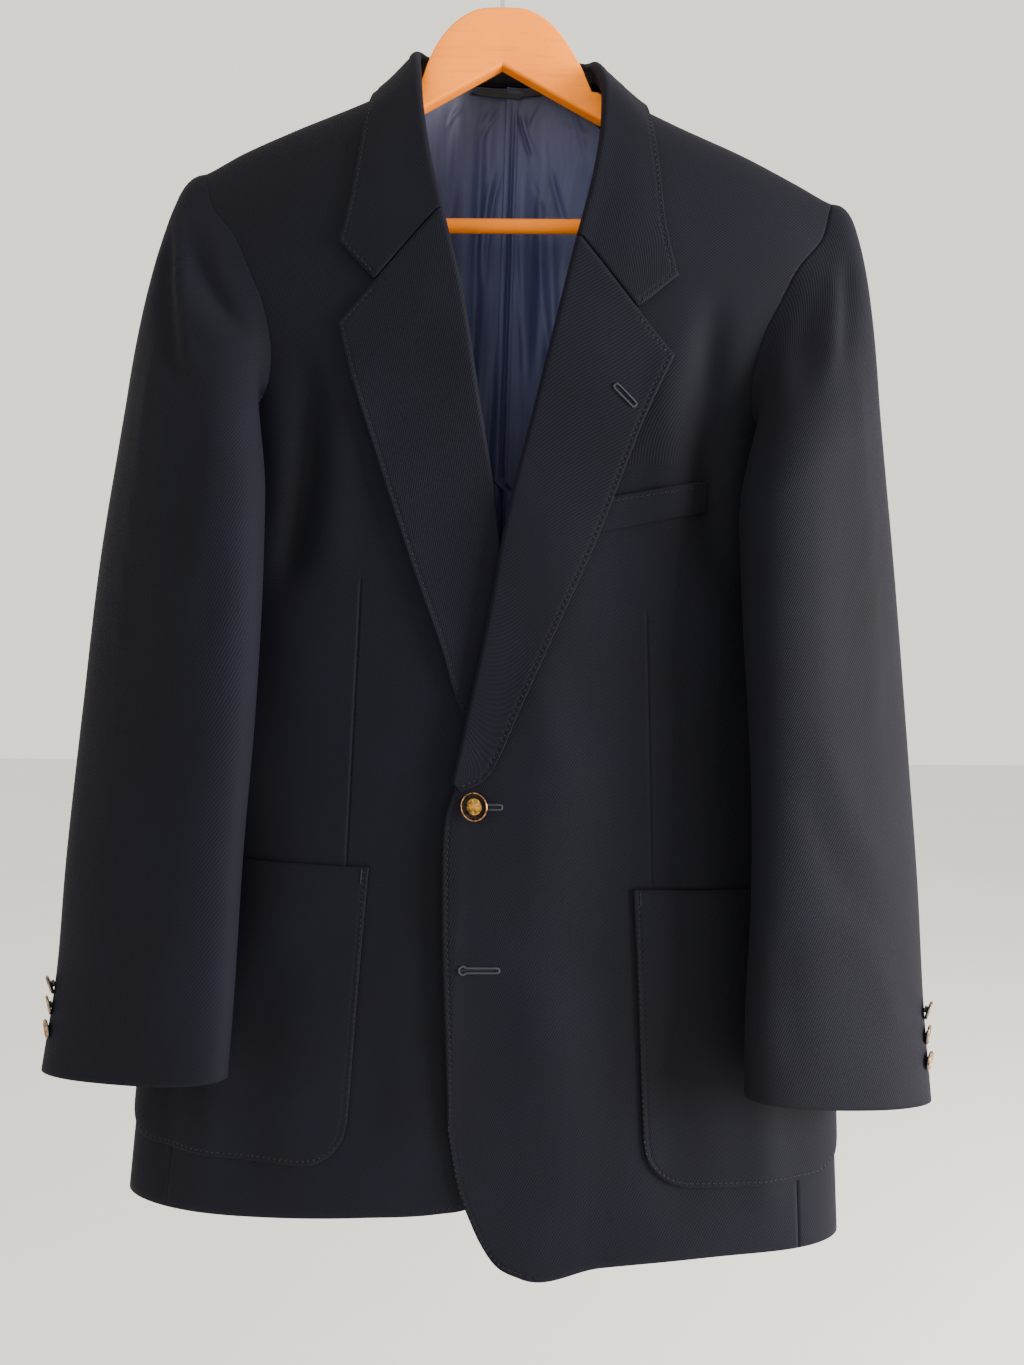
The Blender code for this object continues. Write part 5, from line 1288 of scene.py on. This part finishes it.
def makeLoop():
    # a short flat tape across the neck seam, slack in the middle
    s = np.linspace(-1, 1, loop["columns"])[None, :]
    x = neck["middle"] + s * loop["half"]
    halves = {}
    for side in sides:
        v = neckRow(side, side * x) + loop["belowNeck"]
        phi = backPhi(side, side * x, v)
        depth = wall + loop["inset"] + loop["bow"] * (1 - s * s)
        halves[side] = formAt(side, phi, v) - normalOf(formAt, side, phi, v) * depth[..., None]
    grid = np.repeat(np.where((x >= 0)[..., None], halves[1], halves[-1]), loop["rows"], 0)
    high = loop["high"] * (loop["taper"] + (1 - loop["taper"]) * (1 - s ** 4))
    grid[..., 2] += high * np.linspace(0.5, -0.5, loop["rows"])[:, None] + 0.5 + loop["sag"] * (1 - s * s)
    piece = shell("tape_loop", grid, loop["wall"], tapeFinish)
    dress(piece, "hanger_loop")


makeLining()
makeLoop()
print("lining and loop made")


# threads: buttonholes, bar tacks and edge stitches

def outerLayer(pair, thick):
    grid, normals = pair
    return grid + normals * thick / 2, normals


def liftOnto(layer, x, z):
    # the point of a front-facing layer at a place, as the mean of its nearest points by closeness
    points, normals = (part.reshape(-1, 3) for part in layer)
    near = (points[None, :, 0] - x[:, None]) ** 2 + (points[None, :, 2] - z[:, None]) ** 2
    best = np.argsort(near, axis=1)[:, :4]
    weight = 1 / (np.take_along_axis(near, best, 1) + 1e-3)
    weight = weight / weight.sum(1, keepdims=True)
    spot = (points[best] * weight[..., None]).sum(1)
    spot[:, 0], spot[:, 2] = x, z
    return spot, unit((normals[best] * weight[..., None]).sum(1))


def ringFaces(rings, count, closed=False):
    # quads between rings of count points; at open ends a fan to each of the two points after the rings
    index = np.arange(rings * count).reshape(rings, count)
    if closed:
        index = np.concatenate((index, index[:1]))
    around = np.roll(index, -1, 1)
    quads = np.stack((index[:-1], around[:-1], around[1:], index[1:]), -1).reshape(-1, 4)
    if closed:
        return [quads]
    tips = np.full(count, rings * count)
    return [quads, np.concatenate((np.stack((around[0], index[0], tips), 1),
                                   np.stack((index[-1], around[-1], tips + 1), 1)))]


def tubeAlong(route, normals, radius, ringSides=8, closed=True):
    # a circle carried along a route, its frame held by the cloth's normals
    aside = unit(np.cross(unit(lineAt(route, 0, closed)), normals))
    turns = 2 * math.pi * np.arange(ringSides) / ringSides
    radius = np.broadcast_to(radius, (len(route),))[:, None, None]
    ring = aside[:, None] * np.cos(turns)[None, :, None] + normals[:, None] * np.sin(turns)[None, :, None]
    points = (route[:, None] + ring * radius).reshape(-1, 3)
    if not closed:
        points = np.concatenate((points, route[[0, -1]]))
    return points, ringFaces(len(route), ringSides, closed)


# the layer that it is in, its ends as x outwards and height, half its width, and the radius of the
# eyelet at the first end
buttonholes = [
    {"name": "thread_hole_lower", "on": "front", "ends": (-20.4, -621.6, 7.4, -620.6),
     "half": 1.7, "eyelet": 3.1},
    {"name": "thread_hole_upper", "on": "front", "ends": (-21.0, -508.0, 5.0, -507.4),
     "half": 1.7, "eyelet": 3.1},
    {"name": "thread_hole_lapel", "on": "lapel", "ends": (70.2, -218.4, 84.6, -231.6),
     "half": 1.9, "eyelet": 1.9},
]
thread = {"radius": 0.8, "slit": 0.75, "slitSink": 0.9, "purl": 0.75, "whip": 0.16, "sink": 0.15,
          "corner": 0.35, "steps": 480, "sides": 10}


def makeButtonhole(row):
    # a closed path round the slit, with a rounder eyelet at one end, whipped with thread
    x0, z0, x1, z1 = row["ends"]
    length = math.hypot(x1 - x0, z1 - z0)
    ux, uz = (x1 - x0) / length, (z1 - z0) / length
    turns = np.linspace(0, 2 * math.pi, 320, endpoint=False)
    along = length / 2 * (1 - signedPower(np.cos(turns), thread["corner"]))
    bulge = row["half"] + (row["eyelet"] - row["half"]) * np.exp(-((along - 2.4) / 1.9) ** 2)
    across = bulge * signedPower(np.sin(turns), thread["corner"])
    layer = outerLayer(bodyGrids["front", 1] if row["on"] == "front" else lapelGrids[1], wall)

    # a dark tube laid in the slit between the stitched edges: painted shade inside the cut
    run = np.linspace(1.0, length - 1.0, 60)
    wider = (row["eyelet"] / row["half"] - 1) * 2.2 * np.exp(-((run - 2.6) / 1.5) ** 2)
    gape = thread["slit"] * (1 + wider)
    spots, out = liftOnto(layer, x0 + ux * run, z0 + uz * run)
    sunk = spots - out * thread["slitSink"] * gape[:, None]
    points, faces = tubeAlong(sunk, out, gape, thread["sides"], closed=False)
    addMesh(row["name"] + "_slit", points, faces, threadFinish)

    route, normals = liftOnto(layer, x0 + ux * along - uz * across, z0 + uz * along + ux * across)
    route, normals = np.vstack((route, route[:1])), np.vstack((normals, normals[:1]))
    run = lengths(route)
    even = np.linspace(0, run[-1], thread["steps"], endpoint=False)
    route, normals = pointsAt(even, run, route), unit(pointsAt(even, run, normals))
    whip = 1 + thread["whip"] * np.cos(2 * math.pi * even / thread["purl"])
    points, faces = tubeAlong(route + normals * thread["sink"], normals, thread["radius"] * whip,
                              thread["sides"])
    addMesh(row["name"], points, faces, holeFinish)


def insetLine(grid, normals, border, depth):
    # the line on a piece that runs a set distance in from one of its borders
    if border in ("first", "last"):
        grid, normals = np.swapaxes(grid, 0, 1), np.swapaxes(normals, 0, 1)
    if border in ("right", "last"):
        grid, normals = grid[:, ::-1], normals[:, ::-1]
    step = np.linalg.norm(np.diff(grid, axis=1), axis=-1)
    run = np.concatenate((np.zeros((len(grid), 1)), np.cumsum(step, 1)), 1)
    i = np.clip((run < depth).sum(1) - 1, 0, run.shape[1] - 2)
    rows = np.arange(len(grid))
    t = np.clip((depth - run[rows, i]) / (run[rows, i + 1] - run[rows, i]), 0, 1)[:, None]
    line, ups = (part[rows, i] * (1 - t) + part[rows, i + 1] * t for part in (grid, normals))
    return line, unit(ups)


stitch = {"step": 4.2, "long": 2.0, "wide": 0.5, "high": 0.1, "in": 3.6, "ahead": 0.3}


def stitchRun(layer, border, keep=None, start=None, depth=None):
    # centres, directions and normals of evenly spaced stitches in from a border of a layer
    line, ups = insetLine(*layer, border, stitch["in"] if depth is None else depth)
    if keep is not None:
        line, ups = line[keep], ups[keep]
    run = lengths(line)
    at = np.arange(stitch["in"] if start is None else start, run[-1] - stitch["in"], stitch["step"])
    spots = pointsAt(at, run, line)
    return spots, unit(pointsAt(at + stitch["ahead"], run, line) - spots), unit(pointsAt(at, run, ups))


def makeStitches():
    # every stitch is a small lens: a ring of six points between its two ends
    runs = []
    for side in sides:
        layer = outerLayer(bodyGrids["front", side], wall)
        runs.append(stitchRun(layer, "left", layer[0][:, 0, 2] < breakZ[side] - 4))
        runs.append(stitchRun(layer, "last", side * layer[0][-1, :, 0] < front["underTo"]))
        layer = outerLayer(lapelGrids[side], wall)
        runs.append(stitchRun(layer, "right"))
        runs.append(stitchRun(layer, "first", pastNotch(side, layer[0][0]), 2.0))
        layer = outerLayer(pocketGrids[side], cloth["pocket"])
        for border in ("left", "last", "right"):
            runs.append(stitchRun(layer, border))
    layer = outerLayer(collarGrid, wall)
    runs.append(stitchRun(layer, "right"))
    runs.append(stitchRun(layer, "first", pastNotch(1, layer[0][0]), 1.0))
    runs.append(stitchRun(layer, "last", pastNotch(-1, layer[0][-1]), 1.0))
    runs.append(stitchRun(outerLayer(weltGrid, welt["wall"]), "first", depth=welt["stitchIn"]))

    spots, ahead, ups = (np.concatenate(part) for part in zip(*runs))
    aside = np.cross(ahead, ups)
    turns = 2 * math.pi * np.arange(6) / 6
    ring = (spots[:, None] + aside[:, None] * (np.cos(turns) * stitch["wide"])[None, :, None]
            + ups[:, None] * (np.sin(turns) * stitch["high"])[None, :, None])
    ends = np.stack((spots - ahead * stitch["long"] / 2, spots + ahead * stitch["long"] / 2), 1)
    points = np.concatenate((ring, ends), 1).reshape(-1, 3)
    one = np.array([(k, (k + 1) % 6, 6) for k in range(6)] + [((k + 1) % 6, k, 7) for k in range(6)])
    faces = (one[None] + 8 * np.arange(len(spots))[:, None, None]).reshape(-1, 3)
    addMesh("thread_edge_stitches", points, [faces], threadFinish)
    print("edge stitches:", len(spots))


tack = {"in": 5.0, "from": 1.5, "to": 11.5, "steps": 60, "radius": 0.5, "purl": 0.8, "whip": 0.15}


def makeTacks():
    # bar tacks at the top corners of the patch pockets: short bars of close thread
    for side, label in sides.items():
        layer = outerLayer(pocketGrids[side], cloth["pocket"])
        for name, border in (("inner", "left"), ("outer", "right")):
            line, ups = insetLine(*layer, border, tack["in"])
            run = lengths(line)
            at = np.linspace(tack["from"], tack["to"], tack["steps"])
            whip = tack["radius"] * (1 + tack["whip"] * np.cos(2 * math.pi * at / tack["purl"]))
            points, faces = tubeAlong(pointsAt(at, run, line), unit(pointsAt(at, run, ups)), whip,
                                      closed=False)
            piece = addMesh("thread_tack_%s_%s" % (label, name), points, faces, threadFinish)


for row in buttonholes:
    makeButtonhole(row)
makeStitches()
makeTacks()
print("threads made")


# buttons: a dished metal disc with a raised rim, a fluted gilt centre and a shank

# upper and lower front button: side, x outwards and height; cuff buttons from the top down: degrees
# that each is turned forwards from the side, its height, and degrees that it leans
button = {"segments": 72, "flutes": 12, "clear": 0.1,
          "upper": (1, -11.7, -507.0), "lower": (-1, 11.7, -621.0),
          "front": {"radius": 10.2, "thick": 2.2, "shank": 2.4},
          "frontFoot": {"upper": 4.3, "lower": 1.6}, "frontLean": {"upper": 23.0, "lower": 0.0},
          "cuff": {"radius": 6.9, "thick": 1.8, "shank": 2.4, "foot": 0.2},
          "cuffTurn": [25.0, 29.0, 34.0],
          "cuffZ": {1: [-644.0, -662.0, -680.0], -1: [-649.0, -664.0, -681.0]},
          "cuffLean": {1: [16.0, 5.0, 5.0], -1: [20.0, 11.0, 5.0]}}
# the bead and the boss as shares of the plate's radius and thickness, and the flutes' depth in mm
bead = {"out": 0.93, "up": 0.84, "radius": 0.05, "steps": 96, "sides": 10}
boss = {"wide": 0.56, "low": 0.62, "rise": 0.42, "dome": 2.4, "steps": 26, "flute": 0.22}


def spokesOf(axis, turns):
    # unit vectors square to an axis, at some angles round it
    sideways = unit(np.cross(axis, (0.3, 0.2, 1.0)))
    return np.cos(turns)[:, None] * sideways + np.sin(turns)[:, None] * np.cross(axis, sideways)


def turnedMesh(name, centre, axis, profile, finish, flute=None, hung=True):
    # a profile of (radius, height) turned about an axis; flute gives more height, from radius and angle
    axis = unit(np.asarray(axis, float))
    count = button["segments"]
    turns = 2 * math.pi * np.arange(count) / count
    radius = np.array([r for r, h in profile[1:-1]])[:, None]
    height = np.array([h for r, h in profile[1:-1]])[:, None] + 0 * turns[None, :]
    if flute is not None:
        height = height + flute(radius, turns[None, :])
    ring = centre + spokesOf(axis, turns)[None] * radius[..., None] + axis * height[..., None]
    ends = [centre + axis * profile[0][1], centre + axis * profile[-1][1]]
    points = np.concatenate((ring.reshape(-1, 3), ends))
    return addMesh(name, points, ringFaces(len(ring), count), finish, None, hung)


def makeButton(name, node, centre, axis, form, finish):
    radius, thick, foot, shank = (form[key] for key in ("radius", "thick", "foot", "shank"))
    stem = [(0, 0), (shank * 0.9, 0), (shank, 0.3), (shank, foot - 0.2),
            (radius * 0.55, foot), (radius * 0.9, foot + 0.1)]
    # the plate as shares of its radius and thickness: round the edge, over the rim, into the dish
    plate = ((0.98, 0.3), (1.0, 0.5), (0.985, 0.75), (0.94, 0.86), (0.87, 0.84), (0.82, 0.66),
             (0.4, 0.6), (0.0, 0.6))
    profile = stem + [(radius * r, foot + thick * h) for r, h in plate]
    piece = turnedMesh(name + "_disc", centre, axis, profile, finish)
    dress(piece, node)

    # a bright bead round the rim, and a gilt boss with shallow radial flutes
    turns = 2 * math.pi * np.arange(bead["steps"]) / bead["steps"]
    route = centre + spokesOf(axis, turns) * radius * bead["out"] + axis * (foot + thick * bead["up"])
    points, faces = tubeAlong(route, np.tile(axis, (len(turns), 1)), radius * bead["radius"], bead["sides"])
    addMesh(name + "_bead", points, faces, beadFinish)
    wide, low, rise = radius * boss["wide"], foot + thick * boss["low"], thick * boss["rise"]
    dome = [(wide * share, low + rise * (1 - share ** boss["dome"]))
            for share in np.linspace(1, 0, boss["steps"])]

    def fluting(r, turn):
        band = ease(0.3, 0.42, r / wide) * (1 - ease(0.84, 0.98, r / wide))
        return -boss["flute"] * band * (0.5 - 0.5 * np.cos(turn * button["flutes"]))

    dome = [(0, low - 0.1), (wide, low - 0.05)] + dome
    turnedMesh(name + "_boss", centre, axis, dome, goldFinish, fluting)


def cuffSpot(side, z, turn):
    # the point of the sleeve that reaches farthest along the buttons' way out, at a height
    low, high = 1.0, float(len(sleeve[side]["innerX"]) - 1)
    for attempt in range(30):
        row = (low + high) / 2
        if sleeveSection(side, row, np.array([0.0]))[0, 2] > z:
            low = row
        else:
            high = row
    out = np.array((side * math.cos(math.radians(turn)), -math.sin(math.radians(turn)), 0.0))
    spots = sleeveSection(side, row, np.linspace(0.0, 50.0, 51))
    return spots[np.argmax(spots @ out)], out


def makeButtons():
    # the fastened button leans towards the garment's right, a cuff one with its upper edge outwards
    for place in ("upper", "lower"):
        side, x, z = button[place]
        phi, v = frontAt(side, x, z)
        normal = bodyNormal(side, phi, v)
        lean = math.radians(button["frontLean"][place])
        form = dict(button["front"], foot=button["frontFoot"][place])
        axis = unit(normal * math.cos(lean) - np.array((math.sin(lean), 0.0, 0.0)))
        makeButton("metal_button_" + place, "button_front_" + place,
                   bodyAt(side, phi, v) + normal * button["clear"], axis, form, darkFinish)
    for side, label in sides.items():
        for k, z in enumerate(button["cuffZ"][side]):
            spot, out = cuffSpot(side, z, button["cuffTurn"][k])
            lean = math.radians(button["cuffLean"][side][k])
            # the lower edge of a leaning button rests on the sleeve
            foot = button["cuff"]["foot"] + button["cuff"]["radius"] * math.sin(lean)
            axis = out * math.cos(lean) - np.array((0.0, 0.0, math.sin(lean)))
            makeButton("metal_cuff_%s_%d" % (label, k + 1), "button_cuff_%s_%d" % (label, k + 1),
                       spot + out * (wall / 2 + button["clear"]), axis, dict(button["cuff"], foot=foot),
                       rimFinish)


makeButtons()
print("buttons made")


# hanger, level: x outwards from its middle, top and underside

hanger = {"thick": 12.0, "soft": 2.5, "end": 219.0, "armDrop": 3.15, "tipChamfer": 4.0,
          1: {"x": [0.0, 20.0, 37.0, 45.0, 50.3, 54.5, 58.0, 61.3, 64.5],
              "top": [-75.0, -77.5, -88.5, -98.0, -106.0, -112.8, -119.3, -127.0, -133.8]},
          -1: {"x": [0.0, 20.0, 37.0, 45.0, 50.0, 54.0, 57.3, 60.5, 64.5],
               "top": [-75.0, -77.5, -88.5, -98.0, -106.5, -115.5, -124.5, -131.8, -133.2]},
          "lowX": [0.0, 60.0, 120.0, 170.0, 192.0, 196.0, 219.0],
          "low": [-116.0, -148.5, -180.0, -206.0, -218.0, -238.0, -240.0],
          "armFrom": 68.0, "armColumns": 150, "crownColumns": 70, "cornerSteps": 6}
bar = {"radius": 5.15, "half": 191.3, "z": -227.5, "columns": 40}
# the radii of the wire and of the eye inside it, the depth of the stem in the wood and its length,
# points of the neck as x and height, and the eye's angles in degrees as start, end and step
hook = {"wire": 1.6, "inner": 19.0, "sink": 6.5, "stem": 18.5, "neck": [(0.3, -56.0), (4.0, -46.5)],
        "turns": (-52, 193, 6), "columns": 160, "sides": 18}


def clothTop(x):
    # underside of the lower of the two shoulders, in the hanger's level frame
    heights = []
    for side in sides:
        local = np.linspace(0, 262, 400)
        top = toWorld(np.stack((side * local, np.zeros(400), ridge(side, local, False)), -1))
        order = np.argsort(side * top[:, 0])
        heights.append(np.interp(x, (side * top[:, 0])[order], top[order, 2]))
    return np.minimum(heights[0], heights[1]) - wall


def makeHanger():
    # sections across the wood along X: a rectangle with rounded corners between the top and the underside
    reach = hanger["end"] - hanger["tipChamfer"]
    arm = np.linspace(hanger["armFrom"], reach, hanger["armColumns"])
    crown = np.linspace(0, hanger[1]["x"][-1], hanger["crownColumns"])
    dome = np.concatenate((crown, arm, [hanger["end"]]))
    lows = np.interp(dome, hanger["lowX"], hanger["low"])
    lows[-1] += hanger["tipChamfer"]
    halves = []
    for side in (-1, 1):
        tops = np.concatenate((spline(hanger[side]["x"], hanger[side]["top"], crown),
                               clothTop(arm) - hanger["armDrop"],
                               [clothTop(hanger["end"]) - hanger["armDrop"] - hanger["tipChamfer"]]))
        halves.append(np.stack((side * dome, tops, lows)))
    x, tops, lows = np.concatenate((halves[0][:, ::-1], halves[1][:, 1:]), 1)
    half, soft = hanger["thick"] / 2, hanger["soft"]
    corner = np.linspace(0, math.pi / 2, hanger["cornerSteps"])
    # each corner: the depth of its centre, and whether it is at the top
    corners = ((half - soft, 1.0), (soft - half, 1.0), (soft - half, 0.0), (half - soft, 0.0))
    ring = []
    for k, (depth, top) in enumerate(corners):
        turn = corner + k * math.pi / 2
        ring.append(np.stack((depth + soft * np.cos(turn), soft * np.sin(turn), 0 * turn + top), 1))
    y, rise, top = np.concatenate(ring).T[:, None]
    z = np.where(top > 0.5, tops[:, None] - soft, lows[:, None] + soft) + rise
    grid = np.stack(np.broadcast_arrays(x[:, None], y, z), -1)
    points = np.concatenate((grid.reshape(-1, 3), grid[[0, -1]].mean(1)))
    piece = addMesh("wood_hanger", points, ringFaces(*z.shape), woodFinish, None, False)
    piece.data.set_sharp_from_angle(angle=math.radians(35))
    dress(piece, "hanger_body")


def makeBar():
    # a round bar with softened ends, let into the hanger's arms
    r, ends = bar["radius"], bar["half"]
    profile = [(0, -ends), (r - 0.8, -ends), (r - 0.2, -ends + 0.3), (r, -ends + 0.9)]
    profile += [(r, h) for h in np.linspace(-ends + 4, ends - 4, bar["columns"])]
    profile += [(r, ends - 0.9), (r - 0.2, ends - 0.3), (r - 0.8, ends), (0, ends)]
    piece = turnedMesh("wood_bar", np.array((0.0, 0.0, bar["z"])), (1, 0, 0), profile, woodFinish,
                       hung=False)
    dress(piece, "hanger_bar")


def makeHook():
    # the wire rises out of the crown and bends round the rail's centre
    middle = hook["inner"]
    radius = middle + hook["wire"]
    foot = hanger[1]["top"][0] - hook["sink"]
    turns = np.radians(np.arange(*hook["turns"]))
    eye = list(zip(radius * np.cos(turns), -middle + radius * np.sin(turns)))
    knots = np.array([(0.0, foot), (0.0, foot + hook["stem"])] + hook["neck"] + eye)
    route = np.stack((knots[:, 0], np.zeros(len(knots)), knots[:, 1]), 1)
    run = lengths(route)
    at = np.linspace(0, run[-1], hook["columns"])
    route = np.stack([spline(run, route[:, k], at) for k in range(3)], -1)
    normals = np.tile((0.0, 1.0, 0.0), (len(route), 1))
    points, faces = tubeAlong(route, normals, hook["wire"], hook["sides"], closed=False)
    dress(addMesh("steel_hook", points, faces, steelFinish, None, False), "hanger_hook")


makeHanger()
makeBar()
makeHook()
print("hanger made")


# floor, light and the camera at the photograph's angle

# places and sizes in metres
studio = {"floorZ": -1.5, "floorSize": 14.0, "floorPoints": 9, "floorDark": "#e0e0de",
          "floorPale": "#e8e8e6", "sky": "#efe9dc", "skyStrength": 1.75,
          "key": {"at": (2.42, -0.78, -0.45), "to": (0.05, 0.0, -0.5), "size": 1.2,
                  "watts": 280.0, "tint": "#fff8f0"},
          "fill": {"at": (-1.2, -2.2, 0.2), "to": (0.0, 0.0, -0.5), "size": 2.0,
                   "watts": 24.0, "tint": "#f2f2ff"}}
# the camera's place, its turns in degrees and its focal length in mm on a sensor 36 mm high
photoView = {"at": (0.010, -0.772, -0.522), "down": 2.8, "roll": 0.4, "focal": 1040 / 1365 * 36}


def lookAt(start, end):
    # a rotation whose -Z axis points from start to end, with +Z of the world upwards
    ahead = unit(np.array(end, float) - np.array(start, float))
    right = unit(np.cross(ahead, (0, 0, 1)))
    up = np.cross(right, ahead)
    return Matrix((tuple(right), tuple(up), tuple(-ahead))).transposed().to_4x4()


def makeFloor():
    # a grid of quads, long enough to meet the pale sky
    count = studio["floorPoints"]
    span = np.linspace(-0.5, 0.5, count) * studio["floorSize"]
    x, y = np.meshgrid(span, span)
    points = np.stack((x, y, np.full(x.shape, studio["floorZ"])), -1).reshape(-1, 3)
    index = np.arange(count * count).reshape(count, count)
    quads = np.stack((index[:-1, :-1], index[:-1, 1:], index[1:, 1:], index[1:, :-1]), -1).reshape(-1, 4)
    made, tree, shader = newMaterial("painted_floor", Roughness=0.9)
    mottle = addNode(tree, "ShaderNodeTexNoise", {"Vector": placeOn(tree), "Scale": 3.0, "Detail": 2.0})
    colour = mixColours(tree, mottle, linear(studio["floorDark"]), linear(studio["floorPale"]))
    connect(tree, shader, {"Base Color": colour})
    mesh = bpy.data.meshes.new("floor")
    mesh.from_pydata(points.tolist(), [], quads.tolist())
    mesh.materials.append(made)
    floor = bpy.data.objects.new("floor", mesh)
    bpy.context.scene.collection.objects.link(floor)


def makeLight():
    sky = bpy.data.worlds.new("pale_room")
    sky.use_nodes = True
    background = sky.node_tree.nodes["Background"]
    background.inputs["Color"].default_value = linear(studio["sky"])
    background.inputs["Strength"].default_value = studio["skyStrength"]
    bpy.context.scene.world = sky
    for name in ("key", "fill"):
        lamp = studio[name]
        light = bpy.data.lights.new(name, "AREA")
        light.size = lamp["size"]
        light.energy = lamp["watts"]
        light.color = linear(lamp["tint"])[:3]
        made = bpy.data.objects.new(name, light)
        made.matrix_world = Matrix.Translation(lamp["at"]) @ lookAt(lamp["at"], lamp["to"])
        bpy.context.scene.collection.objects.link(made)


def makeCamera():
    lens = bpy.data.cameras.new("photo_camera")
    lens.sensor_fit = "VERTICAL"
    lens.sensor_height = 36
    lens.lens = photoView["focal"]
    lens.clip_start = 0.01
    camera = bpy.data.objects.new("photo_camera", lens)
    camera.matrix_world = (Matrix.Translation(photoView["at"])
                           @ Matrix.Rotation(math.radians(90 - photoView["down"]), 4, "X")
                           @ Matrix.Rotation(math.radians(photoView["roll"]), 4, "Z"))
    bpy.context.scene.collection.objects.link(camera)
    bpy.context.scene.camera = camera


makeFloor()
makeLight()
makeCamera()
print("studio made")
